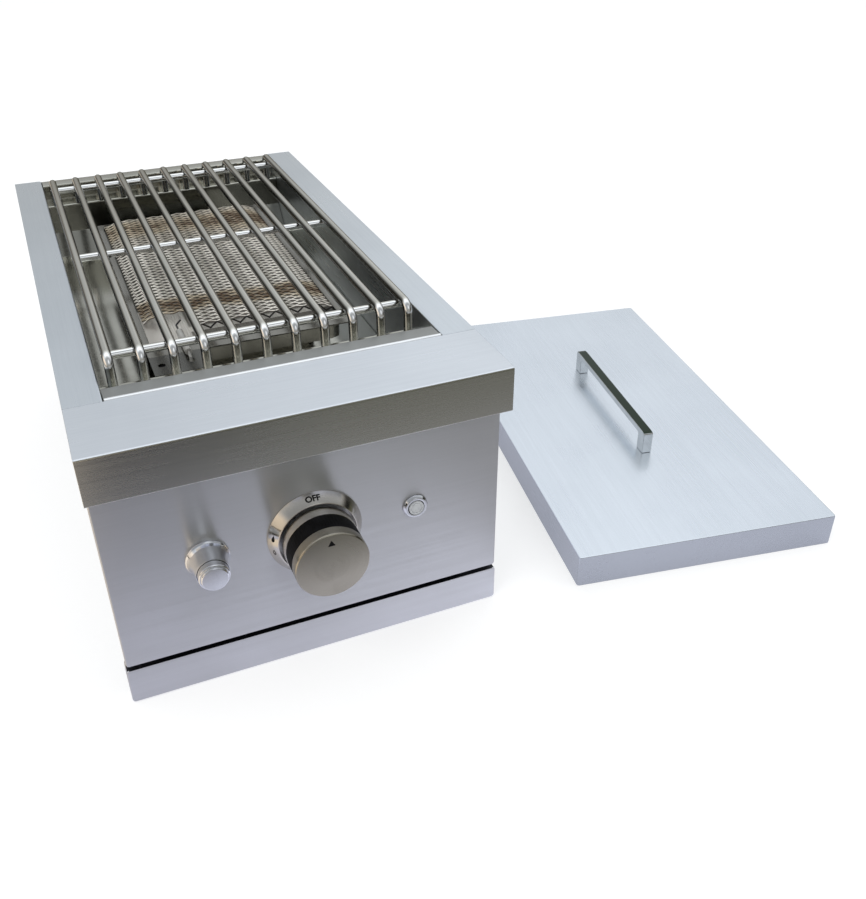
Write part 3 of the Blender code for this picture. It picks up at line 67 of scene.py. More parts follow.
LID_CENTRE = (0.39948, -0.08966, 0.0)
WELD_DISTANCE = 2e-6
SMOOTH_ANGLE = math.radians(38)
FLAT_ANGLE = math.radians(0.6)
EDGE_ANGLE = math.radians(50)
LEVEL_SHARE = 0.7  # a face counts as level where its normal rises by more than this
RELIEF = 0.0001  # height of a surface's roughness
GRAIN_RELIEF = 0.00006
TURNED_PITCH = 0.0006  # how slowly a turned grain changes with the angle, per radian
TURNED_LENGTH = 0.03  # length of the turned grain's UV map, per radian
FINE_SCALE = 2600.0  # frequencies of a brushed metal's scratches, streaks and clouds
BROAD_SCALE = 420.0
CLOUD_SCALE = 11.0
METAL_GRIT = 18.0  # how much finer a surface's grit is than its patches
METAL_FACETS = 2.2
STUFF_GRIT = 22.0
EVEN = (1.0, 1.0, 1.0)
WHITE = (1.0, 1.0, 1.0)


class Grain(Enum):
    """Direction in which a surface was brushed, as the share of each axis in its pattern."""

    ACROSS = (0.012, 1.0, 1.0)
    ALONG = (1.0, 0.012, 1.0)
    TURNED = (1.0, 0.0, 0.0)


def _sum(operation: str, swapped: bool = False) -> Callable[..., "Signal"]:
    """Makes a method of Signal that adds one Math node.

    Args:
        operation: Blender's name for the operation.
        swapped: True where the other number comes first.

    Returns:
        The method.
    """

    def method(self: "Signal", *others: "Signal | float") -> "Signal":
        """Adds the Math node and gives its result."""
        return self.board.math(operation, *((*others, self) if swapped else (self, *others)))

    return method


class Signal:
    """An output of a node. Where it carries a number, Python sums add their own Math nodes."""

    def __init__(self, board: "Board", socket: bpy.types.NodeSocket) -> None:
        """Wraps an output socket of a board."""
        self.board = board
        self.socket = socket

    __add__ = __radd__ = _sum("ADD")
    __sub__ = _sum("SUBTRACT")
    __rsub__ = _sum("SUBTRACT", swapped=True)
    __mul__ = __rmul__ = _sum("MULTIPLY")
    __truediv__ = _sum("DIVIDE")
    __mod__ = _sum("FLOORED_MODULO")
    above = _sum("GREATER_THAN")
    below = _sum("LESS_THAN")
    least = _sum("MINIMUM")
    most = _sum("MAXIMUM")
    bearing = _sum("ARCTAN2")
    absolute = _sum("ABSOLUTE")
    floor = _sum("FLOOR")
    root = _sum("SQRT")
    sine = _sum("SINE")

    def rise(self, start: float, end: float) -> "Signal":
        """Goes smoothly from 0 at start to 1 at end."""
        sockets = {"Value": self, "From Min": start, "From Max": end}
        return self.board.out("ShaderNodeMapRange", sockets, interpolation_type="SMOOTHSTEP")

    def near(self, place: float, inner: float, outer: float) -> "Signal":
        """Gives 1 within the inner distance of a place and 0 beyond the outer one."""
        return 1 - (self - place).absolute().rise(inner, outer)


Value = Signal | bpy.types.Material | float | Sequence[float]


class Board:
    """A node tree under construction.

    Attributes:
        family: What the type names of the tree's own nodes begin with.
    """

    family = "ShaderNode"

    def __init__(self, tree: bpy.types.NodeTree) -> None:
        """Wraps an empty tree."""
        self.tree = tree

    def node(
        self, kind: str, sockets: Mapping[str | int, Value] | None = None, **settings: object
    ) -> bpy.types.Node:
        """Adds one node.

        Args:
            kind: Blender's name for the node type, in full or without the tree's family.
            sockets: Values or links of its input sockets, by name or index.
            settings: The node's own settings, made first.

        Returns:
            The new node.
        """
        made = self.tree.nodes.new(kind if "Node" in kind else self.family + kind)
        for key, value in settings.items():
            setattr(made, key, value)
        for key, value in (sockets or {}).items():
            if isinstance(value, Signal):
                self.tree.links.new(value.socket, made.inputs[key])
            else:
                made.inputs[key].default_value = value
        return made

    def out(
        self,
        kind: str,
        sockets: Mapping[str | int, Value] | None = None,
        output: str | int = 0,
        **settings: object,
    ) -> Signal:
        """Adds one node and gives one of its outputs, by name or index."""
        return Signal(self, self.node(kind, sockets, **settings).outputs[output])

    def math(self, operation: str, *terms: Signal | float) -> Signal:
        """Adds one Math node for an operation on its terms."""
        return self.out("ShaderNodeMath", dict(enumerate(terms)), operation=operation)

    def split(self, vector: Signal) -> tuple[Signal, ...]:
        """Splits a vector into its three numbers."""
        made = self.node("ShaderNodeSeparateXYZ", {0: vector})
        return tuple(Signal(self, output) for output in made.outputs)

    def vector(self, x: Value = 0.0, y: Value = 0.0, z: Value = 0.0) -> Signal:
        """Joins three numbers into a vector."""
        return self.out("ShaderNodeCombineXYZ", {0: x, 1: y, 2: z})

    def colour(self, factor: Signal, first: Value, second: Value, kind: str = "MIX") -> Signal:
        """Mixes two colours.

        Args:
            factor: Share of the second colour.
            first: Colour at 0.
            second: Colour at 1.
            kind: Blender's name for the blend.

        Returns:
            The mixed colour.
        """
        sides = [(*side, 1.0) if isinstance(side, tuple) else side for side in (first, second)]
        sockets = {0: factor, 6: sides[0], 7: sides[1]}
        return self.out("ShaderNodeMix", sockets, 2, data_type="RGBA", blend_type=kind)

    def ray(self, kind: str) -> Signal:
        """Gives 1 for rays of a kind."""
        return self.out("LightPath", output=f"Is {kind} Ray")


class Dye(Board):
    """The node tree of one material under construction."""

    def __init__(self, name: str) -> None:
        """Starts an empty material.

        Args:
            name: The material's name.
        """
        self.material = bpy.data.materials.new(name)
        self.material.use_nodes = True
        self.material.node_tree.nodes.clear()
        super().__init__(self.material.node_tree)
        self.point = self.out("TexCoord", output="Object")

    def faces(self) -> tuple[Signal, ...]:
        """How far a face looks sideways, along and upwards, in the piece's own coordinates."""
        return self.split(self.out("TexCoord", output="Normal"))

    def mapped(
        self, scale: Point = EVEN, centre: Point = (0.0, 0.0, 0.0), turn: float = 0.0
    ) -> Signal:
        """Object coordinates about a centre, turned about the vertical and stretched.

        Args:
            scale: Stretch of each axis, applied after the turn.
            centre: Point that becomes the origin.
            turn: Angle of the piece about the vertical.

        Returns:
            The mapped coordinates.
        """
        moved = self.out("VectorMath", {0: self.point, 1: centre}, operation="SUBTRACT")
        placed = self.out("Mapping", {"Vector": moved, "Rotation": (0.0, 0.0, -turn)})
        return self.out("VectorMath", {0: placed, 1: scale}, operation="MULTIPLY")

    def noise(
        self, vector: Signal, scale: float, octaves: float = 2.0, rough: float = 0.5
    ) -> Signal:
        """Smooth noise around one half, with a weight for each further octave."""
        sockets = {"Vector": vector, "Scale": scale, "Detail": octaves, "Roughness": rough}
        return self.out("TexNoise", sockets)

    def finish(
        self,
        colour: Signal,
        rough: Value,
        relief: tuple[Signal, float, float],
        sockets: Mapping[str, Value],
    ) -> bpy.types.Material:
        """Ends the tree in a Principled shader.

        Args:
            colour: The surface's colour.
            rough: Its roughness.
            relief: Its unevenness, and how strong and how high that is.
            sockets: Values or links of further sockets.

        Returns:
            The finished material.
        """
        bump = dict(zip(("Height", "Strength", "Distance"), relief))
        sockets = {
            "Base Color": colour, "Roughness": rough, "Normal": self.out("Bump", bump), **sockets
        }
        self.node("OutputMaterial", {0: self.out("BsdfPrincipled", sockets)})
        return self.material


@dataclass(frozen=True)
class Finish:
    """What a piece wears. In its kinds, roughness is the mean roughness, size the frequency of the
    patches, depth the strength of the relief, and metallic 1 for bare metal.

    Attributes:
        name: Material name.
        slot: Material slot of the record, not used here.
        colour: Colour of the clean surface.
        shade: Colour that its streaks, patches, heat, sooting and painted shade go towards.
    """

    name: str
    slot: str
    colour: Colour
    shade: Colour

    def material(self) -> bpy.types.Material:
        """Makes the material, which each kind of finish does in its own way."""
        raise NotImplementedError


@dataclass(frozen=True)
class BrushedSteel(Finish):
    """Steel with a brushed, rolled or turned grain.

    Attributes:
        grain: Direction of the grain.
        centre: Axis of a turned grain.
        turn: Angle of the piece about the vertical.
        streaks: Weight of the fine streaks.
        clouds: Weight of the broad clouds.
        stretch: How far a highlight is drawn out across the grain.
        painted_highlight: Painted highlight: faces that look along the grain, drawn brighter.
        painted_shade_sides: Painted shade: faces that look sideways, drawn darker.
    """

    grain: Grain = Grain.ACROSS
    centre: Point = (0.0, 0.0, 0.0)
    turn: float = 0.0
    roughness: float = 0.3
    depth: float = 0.12
    streaks: float = 0.35
    clouds: float = 0.25
    stretch: float = 0.0
    painted_highlight: Colour | None = None
    painted_shade_sides: Colour | None = None

    def _pattern(self, dye: Dye) -> Signal:
        """Finds coordinates that run slowly along the grain.

        Args:
            dye: The material under construction.

        Returns:
            The coordinates.
        """
        if self.grain is not Grain.TURNED:
            return dye.mapped(self.grain.value, self.centre, self.turn)
        x, y, z = dye.split(dye.mapped(EVEN, self.centre))
        return dye.vector((x * x + z * z).root(), y, x.bearing(z) * TURNED_PITCH)

    def material(self) -> bpy.types.Material:
        """Makes the material.

        Returns:
            The finished material.
        """
        dye = Dye(self.name)
        pattern = self._pattern(dye)
        fine = dye.noise(pattern, FINE_SCALE, 2.0, 0.6)
        broad = dye.noise(pattern, BROAD_SCALE, 3.0, 0.6)
        cloud = dye.noise(dye.mapped(EVEN, self.centre, self.turn), CLOUD_SCALE, 3.0)
        mask = (fine.rise(0.3, 0.7) * 0.5 + broad.rise(0.25, 0.75) * 0.5) * self.streaks
        colour = dye.colour(mask + cloud.rise(0.35, 0.75) * self.clouds, self.colour, self.shade)
        # Painted highlight along the grain and painted shade on the sides.
        if self.painted_highlight:
            sideways, along, _ = dye.faces()
            colour = dye.colour(sideways.absolute().rise(0.35, 0.85), colour, self.painted_shade_sides)
            colour = dye.colour(along.absolute().rise(0.15, 0.55), colour, self.painted_highlight)
        sockets: dict[str, Value] = {"Metallic": 1.0}
        if self.stretch:
            tangent = dye.out("Tangent", direction_type="UV_MAP", uv_map="grain")
            sockets |= {"Anisotropic": self.stretch, "Tangent": tangent}
        rough = self.roughness + (broad - 0.5) * 0.12 + (cloud - 0.5) * 0.1
        return dye.finish(colour, rough, (fine + broad * 0.6, self.depth, GRAIN_RELIEF), sockets)


@dataclass(frozen=True)
class PlatedMetal(Finish):
    """Plated, cast or machined metal without a grain.

    Attributes:
        spangle: True for the crystal facets of a zinc coat.
        painted_dark_top: Painted reflection: colour of the faces that look up, drawn darker.
        satin: Roughness added on the faces that look at the user.
    """

    roughness: float = 0.1
    size: float = 60.0
    depth: float = 0.02
    spangle: bool = False
    metallic: float = 1.0
    painted_dark_top: Colour | None = None
    satin: float = 0.0

    def material(self) -> bpy.types.Material:
        """Makes the material.

        Returns:
            The finished material.
        """
        dye = Dye(self.name)
        grit = dye.noise(dye.point, self.size * METAL_GRIT)
        mask = dye.noise(dye.point, self.size, 4.0).rise(0.3, 0.7)
        if self.spangle:
            sockets = {"Vector": dye.point, "Scale": self.size * METAL_FACETS}
            facets = dye.split(dye.out("TexVoronoi", sockets, "Color"))[0]
            mask = mask * 0.4 + facets * 0.6
        colour = dye.colour(mask, self.colour, self.shade)
        rough = self.roughness + (mask - 0.5) * 0.08
        # Painted reflection: faces that look up drawn darker.
        if self.painted_dark_top:
            colour = dye.colour(dye.faces()[2].rise(0.75, 0.97), colour, self.painted_dark_top)
        if self.satin:
            front = (dye.faces()[1] * -1.0).rise(0.95, 0.99)
            rough = rough + front * self.satin
            colour = dye.colour(front * grit.rise(0.35, 0.65) * 0.5, colour, self.shade)
        return dye.finish(colour, rough, (grit, self.depth, RELIEF), {"Metallic": self.metallic})


@dataclass(frozen=True)
class HeatTintedSteel(Finish):
    """Expanded steel with bands of heat colour along the burner, its shade at their edges.

    Attributes:
        burnt: Colour in the hottest bands.
        olive: Colour of the rear third.
        front_band: Where the front band crosses the middle.
        rear_band: Where the rear band crosses it.
        right_band: Where the patch on the right lies.
        slant: How far the bands come forward for their length.
        wander: How far they stray from a line.
        front_edge: Where the front strand, drawn near black, ends.
        black: Colour of that strand.
        painted_shade_sides: Painted shade: tone of a strand's sides against its top.
    """

    burnt: Colour
    olive: Colour
    front_band: float = -0.058
    rear_band: float = 0.150
    right_band: float = 0.130
    slant: float = 0.06
    wander: float = 0.022
    front_edge: float = -0.1020
    black: Colour = (0.05, 0.045, 0.04)
    painted_shade_sides: Colour = (0.30, 0.28, 0.26)

    def material(self) -> bpy.types.Material:
        """Makes the material.

        Returns:
            The finished material.
        """
        dye = Dye(self.name)
        x, y, _ = dye.split(dye.point)
        stray = (dye.noise(dye.point, 30.0, 3.0) - 0.5) * self.wander
        patch = dye.noise(dye.mapped((1.0, 1.6, 1.0)), 75.0, 3.0)
        along = y + x * self.slant + stray
        front = along.near(self.front_band, 0.003, 0.026)
        rear = along.near(self.rear_band, 0.004, 0.036)
        right = x.rise(-0.02, 0.05) * along.near(self.right_band, 0.010, 0.045)
        heat = ((front + rear * 0.8 + right * 0.4) * (0.10 + patch * 1.5)).least(1.0)
        aged = along.rise(0.06, 0.13) * (0.4 + patch * 0.8)
        colour = dye.colour(aged, self.colour, self.olive)
        colour = dye.colour(heat.rise(0.05, 0.55), colour, self.shade)
        colour = dye.colour(heat.rise(0.45, 0.95), colour, self.burnt)
        # Painted shade: the strands' sides drawn darker than their tops.
        colour = dye.colour(1 - dye.faces()[2].rise(0.55, 0.85), colour, self.painted_shade_sides, "MULTIPLY")
        edge = 1 - y.rise(self.front_edge - 0.0003, self.front_edge)
        colour = dye.colour(edge, colour, self.black)
        relief = (dye.noise(dye.point, 1800.0), 0.1, RELIEF)
        return dye.finish(colour, 0.36 + heat * 0.16, relief, {"Metallic": 1.0})


@dataclass(frozen=True)
class PlainStuff(Finish):
    """Ceramic, rubber, fibre or moulded plastic.

    Attributes:
        coat: Weight of a clear glaze.
        gloss: Strength of its reflections, 0.5 for most stuffs.
    """

    roughness: float = 0.6
    size: float = 90.0
    depth: float = 0.2
    coat: float = 0.0
    gloss: float = 0.5

    def material(self) -> bpy.types.Material:
        """Makes the material.

        Returns:
            The finished material.
        """
        dye = Dye(self.name)
        patch = dye.noise(dye.point, self.size, 4.0)
        colour = dye.colour(patch.rise(0.3, 0.75), self.colour, self.shade)
        rough = self.roughness + (patch - 0.5) * 0.15
        relief = (dye.noise(dye.point, self.size * STUFF_GRIT), self.depth, RELIEF)
        sockets = {"Coat Weight": self.coat, "Specular IOR Level": self.gloss}
        return dye.finish(colour, rough, relief, sockets)


@dataclass(frozen=True)
class FiredCeramic(Finish):
    """Ceramic or its steel frame, pale in the screen's notch, darker elsewhere: sooting and painted
    shade.

    Attributes:
        lip: Open strip along the screen's front edge, from y to y.
        notch: Corner of the screen's notch.
        fade: Half the width of the notch's border.
    """

    metallic: float = 0.0
    roughness: float = 0.82
    lip: Pair = (-0.0940, -0.0830)
    notch: Pair = (-0.0445, -0.0480)
    fade: float = 0.001

    def material(self) -> bpy.types.Material:
        """Makes the material.

        Returns:
            The finished material.
        """
        dye = Dye(self.name)
        x, y, _ = dye.split(dye.point)
        patch = dye.noise(dye.point, 26.0, 3.0)
        left, ahead = (
            1 - place.rise(end - self.fade, end + self.fade)
            for place, end in zip((x, y), self.notch)
        )
        start, end = self.lip
        lip = y.rise(start - self.fade, start) * (1 - y.rise(end - self.fade * 4, end))
        # Darker under the screen, away from its front strip and notch: sooting and painted shade.
        under = (1 - lip) * (1 - left * ahead)
        soot_and_painted_shade = under * (0.75 + patch * 0.4) + patch * 0.12
        colour = dye.colour(soot_and_painted_shade, self.colour, self.shade)
        rough = self.roughness + (patch - 0.5) * 0.15
        relief = (dye.noise(dye.point, 900.0), 0.08, RELIEF)
        return dye.finish(colour, rough, relief, {"Metallic": self.metallic})


DECK = BrushedSteel(
    "deck_steel", "brushed_steel", (0.74, 0.77, 0.81), (0.60, 0.63, 0.67), depth=0.06, stretch=0.6
)
FLANGE = BrushedSteel(
    "flange_steel", "brushed_steel", (0.72, 0.76, 0.80), (0.58, 0.62, 0.66), Grain.ALONG,
    stretch=0.6,
)
FASCIA = BrushedSteel(
    "fascia_steel", "brushed_steel", (0.74, 0.74, 0.755), (0.64, 0.64, 0.64), roughness=0.34,
    depth=0.02, streaks=0.2, clouds=0.1, stretch=1.0,
)
LID_STEEL = BrushedSteel(
    "lid_steel", "brushed_steel", (0.72, 0.76, 0.81), (0.60, 0.64, 0.69), Grain.ALONG, LID_CENTRE,
    LID_TURN, roughness=0.26, depth=0.025, stretch=0.5,
)
TUB_STEEL = BrushedSteel(
    "tub_steel", "tub_steel", (0.52, 0.51, 0.455), (0.33, 0.325, 0.27), roughness=0.14,
    depth=0.006, streaks=0.12, clouds=0.4,
)
# The tub's front strip, tub steel drawn darker: painted shade.
STRIP_PAINTED_SHADE = BrushedSteel(
    "strip_painted_shade", "tub_steel", (0.34, 0.345, 0.335), (0.27, 0.27, 0.26), roughness=0.34,
    depth=0.006, streaks=0.12,
)
# The apron's front faces, drawn darker and warmer than its top: painted reflection.
APRON_PAINTED_SHADE = BrushedSteel(
    "apron_painted_shade", "brushed_steel", (0.66, 0.65, 0.605), (0.54, 0.53, 0.485), roughness=0.27,
    depth=0.03, stretch=0.6,
)
# The tray front's top faces in the slot, near black: painted shade.
SLOT_PAINTED_SHADE = BrushedSteel(
    "slot_painted_shade", "brushed_steel", (0.035, 0.036, 0.042), (0.025, 0.026, 0.03), roughness=0.5
)
PLATE_STEEL = BrushedSteel(
    "plate_steel", "brushed_steel", (0.15, 0.148, 0.135), (0.10, 0.098, 0.088), Grain.ALONG,
    roughness=0.26, depth=0.03, clouds=0.4,
)
# The tub's front hem, near white: a painted highlight line.
HEM_PAINTED_HIGHLIGHT = PlatedMetal("hem_painted_highlight", "tub_steel", (0.94, 0.95, 0.96), (0.88, 0.89, 0.90), 0.34)
BURNER_STEEL = BrushedSteel(
    "burner_steel", "brushed_steel", (0.30, 0.29, 0.26), (0.18, 0.17, 0.145), Grain.ALONG,
    roughness=0.20, depth=0.04, clouds=0.4,
)
# Rods: painted highlight on faces along them, painted shade on their sides.
ROD_STEEL = BrushedSteel(
    "rod_steel", "rod_steel", (0.57, 0.555, 0.505), (0.41, 0.395, 0.35), Grain.ALONG,
    roughness=0.13, depth=0.01, streaks=0.15, painted_highlight=(0.95, 0.95, 0.94),
    painted_shade_sides=(0.06, 0.06, 0.052),
)
SPUN_STEEL = BrushedSteel(
    "spun_steel", "bezel_steel", (0.68, 0.65, 0.60), (0.52, 0.48, 0.43), Grain.TURNED, KNOB_AXIS,
    roughness=0.17, depth=0.04, streaks=0.25, stretch=0.8,
)
TURNED_STEEL = BrushedSteel(
    "turned_steel", "knob_steel", (0.445, 0.415, 0.345), (0.33, 0.30, 0.245), Grain.TURNED,
    KNOB_AXIS, roughness=0.24, depth=0.015, streaks=0.2, clouds=0.2, stretch=0.9,
)
CHROME = PlatedMetal(
    "chrome_plate", "chrome", (0.82, 0.83, 0.86), (0.72, 0.73, 0.76), 0.06, satin=0.3
)
# Handle chrome whose top is drawn dark: a painted reflection.
HANDLE_CHROME = PlatedMetal(
    "handle_chrome", "chrome", (0.80, 0.82, 0.83), (0.70, 0.72, 0.73), 0.07,
    painted_dark_top=(0.022, 0.034, 0.022),
)
ZINC = PlatedMetal(
    "zinc_coat", "galvanised", (0.56, 0.58, 0.59), (0.42, 0.44, 0.46), 0.36, 42.0, 0.05,
    spangle=True,
)
CASTING = PlatedMetal(
    "iron_casting", "cast_iron", (0.10, 0.10, 0.10), (0.05, 0.05, 0.05), 0.62, 120.0, 0.5,
    metallic=0.6,
)
BRASS = PlatedMetal(
    "machined_brass", "brass", (0.72, 0.55, 0.26), (0.58, 0.42, 0.18), 0.24, 90.0, 0.04
)
MESH_STEEL = HeatTintedSteel(
    "mesh_steel", "screen_metal", (0.97, 0.91, 0.81), (0.72, 0.61, 0.45), (0.26, 0.19, 0.13),
    (0.68, 0.61, 0.50),
)
# Plaque and frame drawn darker under the screen: sooting and painted shade.
PLAQUE = FiredCeramic("porous_ceramic", "ceramic", (0.80, 0.77, 0.71), (0.25, 0.235, 0.205))
FRAME_STEEL = FiredCeramic(
    "frame_steel", "brushed_steel", (0.86, 0.81, 0.74), (0.14, 0.135, 0.12), 1.0, 0.35,
    notch=(-0.0445, -0.0400),
)
GLAZE = PlainStuff(
    "glazed_ceramic", "insulator", (0.60, 0.59, 0.55), (0.48, 0.46, 0.42), 0.25, coat=0.6
)
GRIP = PlainStuff(
    "grip_rubber", "black_grip", (0.003, 0.003, 0.003), (0.008, 0.008, 0.009), 0.5, gloss=0.07
)
FIBRE = PlainStuff(
    "fibre_gasket", "gasket", (0.72, 0.70, 0.65), (0.60, 0.57, 0.50), 0.95, 300.0, 0.8
)
SLEEVE = PlainStuff(
    "lead_sleeve", "lead_sleeve", (0.46, 0.45, 0.42), (0.36, 0.35, 0.32), 0.5, 200.0
)
CAP = PlainStuff(
    "switch_cap", "switch_button", (0.60, 0.61, 0.62), (0.50, 0.51, 0.53), 0.35, 300.0
)
INK = PlainStuff(
    "black_ink", "black_grip", (0.004, 0.004, 0.004), (0.008, 0.008, 0.008), 0.7, 400.0, 0.05,
    gloss=0.1,
)

BODIES = frame["record"]["behaviour"]["bodies"]
BODY_OF = {node: body for body, nodes in BODIES.items() for node in nodes}


@cache
def paint(finish: Finish) -> bpy.types.Material:
    """Makes a finish's material once and lends it to every piece that wears it."""
    return finish.material()


def grain_map(mesh: bpy.types.Mesh, finish: BrushedSteel) -> None:
    """Gives a mesh the UV map that its finish's highlights follow, with U across the grain.

    Args:
        mesh: The mesh to map.
        finish: The finish that it will wear.
    """
    layer = mesh.uv_layers.new(name="grain")
    turn = Matrix.Rotation(-finish.turn, 3, "Z")
    centre = Vector(finish.centre)
    for face in mesh.polygons:
        level = abs((turn @ face.normal).z) > LEVEL_SHARE
        first: float | None = None
        for loop in face.loop_indices:
            place = turn @ (mesh.vertices[mesh.loops[loop].vertex_index].co - centre)
            if finish.grain is Grain.TURNED:
                angle = math.atan2(place.x, place.z)
                first = angle if first is None else first
                if abs(angle - first) > math.pi:
                    angle += math.copysign(math.tau, first)
                pair = (math.hypot(place.x, place.z) - place.y, angle * TURNED_LENGTH)
            elif finish.grain is Grain.ACROSS:
                pair = (place.y if level else place.z, place.x)
            else:
                pair = (place.x if level else place.z, place.y)
            layer.data[loop].uv = pair


def smooth(mesh: bpy.types.Mesh) -> None:
    """Shades a mesh smooth between its sharp edges."""
    mesh.shade_smooth()
    mesh.set_sharp_from_angle(angle=SMOOTH_ANGLE)


def cast(
    work: bmesh.types.BMesh, outward: bool = True, smoothed: bool = True
) -> bpy.types.Mesh:
    """Turns worked geometry into a mesh and frees it.

    Args:
        work: The geometry.
        outward: True to turn its faces outwards.
        smoothed: True to shade it smooth between its sharp edges.

    Returns:
        The mesh.
    """
    if outward:
        bmesh.ops.recalc_face_normals(work, faces=work.faces)
    mesh = bpy.data.meshes.new("worked")
    work.to_mesh(mesh)
    work.free()
    if smoothed:
        smooth(mesh)
    return mesh


def show(name: str, data: bpy.types.ID) -> bpy.types.Object:
    """Puts an object into the scene.

    Args:
        name: Its name.
        data: Its mesh, camera or lamp.

    Returns:
        The object.
    """
    made = bpy.data.objects.new(name, data)
    bpy.context.scene.collection.objects.link(made)
    return made


def lift(work: bmesh.types.BMesh, raised: dict[str, list], height: float) -> None:
    """Moves what an extrusion has made upwards."""
    fresh = [item for item in raised["geom"] if isinstance(item, bmesh.types.BMVert)]
    bmesh.ops.translate(work, verts=fresh, vec=(0, 0, height))


def enter(
    name: str, mesh: bpy.types.Mesh, finish: Finish, body: str, *nodes: str,
    edge: float | None = None,
) -> None:
    """Makes a piece from its mesh and hangs it on its body.

    Args:
        name: The piece's name.
        mesh: Its mesh, in the row frame.
        finish: What it wears.
        body: The CAD body that it moves with.
        nodes: CAD nodes that it stands for, which it hides.
        edge: Rounding of its cut edges, where its flat faces are to be kept flat.
    """
    if isinstance(finish, BrushedSteel):
        grain_map(mesh, finish)
    mesh.materials.clear()
    mesh.materials.append(paint(finish))
    made = show(name, mesh)
    if edge is not None:
        soften(made, edge)
    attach(made, body)
    if nodes:
        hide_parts(*nodes)
    LOG.info("%s rides on %s, %d faces", name, body, len(mesh.polygons))


def merged_copy(node: str) -> bpy.types.Mesh:
    """A CAD node's mesh with its triangles merged into whole flat faces.

    Args:
        node: The CAD node.

    Returns:
        A new mesh in the row frame.
    """
    source = frame["nodes"][node].data
    triangles = [tuple(face.vertices) for face in source.polygons]
    plain = bpy.data.meshes.new("plain")
    plain.from_pydata([vertex.co for vertex in source.vertices], [], triangles)
    work = bmesh.new()
    work.from_mesh(plain)
    bpy.data.meshes.remove(plain)
    bmesh.ops.remove_doubles(work, verts=work.verts, dist=WELD_DISTANCE)
    bmesh.ops.dissolve_limit(
        work, angle_limit=FLAT_ANGLE, use_dissolve_boundaries=False, verts=work.verts,
        edges=work.edges,
    )
    return cast(work, outward=False)


def soften(made: bpy.types.Object, width: float) -> None:
    """Rounds the cut edges of a piece and keeps its flat faces flat.

    Args:
        made: The piece.
        width: Width of the rounding, 0 for none.
    """
    if width:
        bevel = made.modifiers.new("edges", "BEVEL")
        bevel.width = width
        bevel.segments = 2
        bevel.limit_method = "ANGLE"
        bevel.angle_limit = EDGE_ANGLE
        bevel.harden_normals = True
    weight = made.modifiers.new("flats", "WEIGHTED_NORMAL")
    weight.keep_sharp = True
    weight.weight = 100


def drum(sides: int, *rows: Sequence[float]) -> bpy.types.Mesh:
    """A closed drum of radius 1 and height 1, stretched and placed.

    Args:
        sides: Faces round it.
        rows: The three rows of the matrix that places it.

    Returns:
        The mesh.
    """
    work = bmesh.new()
    bmesh.ops.create_cone(
        work, cap_ends=True, segments=sides, radius1=1.0, radius2=1.0, depth=1.0,
        matrix=Matrix((*rows, (0.0, 0.0, 0.0, 1.0))),
    )
    return cast(work)


def lathe(profile: Profile, steps: int, centre: Point) -> bpy.types.Mesh:
    """Turns a closed profile about an axis that points towards the user.

    Args:
        profile: Radius and distance forward of the centre, point by point.
        steps: Faces round the axis.
        centre: Where the axis meets the panel.

    Returns:
        The turned mesh, in the row frame.
    """
    work = bmesh.new()
    x, y, z = centre
    rings = [
        [
            work.verts.new((x + r * math.sin(angle), y - ahead, z + r * math.cos(angle)))
            for r, ahead in profile
        ]
        for angle in (math.tau * step / steps for step in range(steps))
    ]
    for ring, after in zip(rings, rings[1:] + rings[:1]):
        for index, start in enumerate(ring):
            corner = (index + 1) % len(ring)
            work.faces.new((start, ring[corner], after[corner], after[index]))
    bmesh.ops.remove_doubles(work, verts=work.verts, dist=WELD_DISTANCE)
    return cast(work)


def eased(profile: Profile, radius: float) -> list[Pair]:
    """Rounds every corner of a turned profile that lies off its axis.

    Args:
        profile: The sharp profile.
        radius: Length taken off each side of a corner.

    Returns:
        The rounded profile.
    """
    points = [Vector(p) for p in profile]
    result: list[Pair] = []
    for index, here in enumerate(points):
        if here.x < WELD_DISTANCE:
            result.append(tuple(here))
            continue
        start, end = (
            here + (other - here).normalized() * min(radius, (other - here).length * 0.4)
            for other in (points[index - 1], points[(index + 1) % len(points)])
        )
        for share in (0.0, 0.5, 1.0):
            bend = start * (1 - share) ** 2 + here * 2 * share * (1 - share) + end * share**2
            result.append(tuple(bend))
    return result


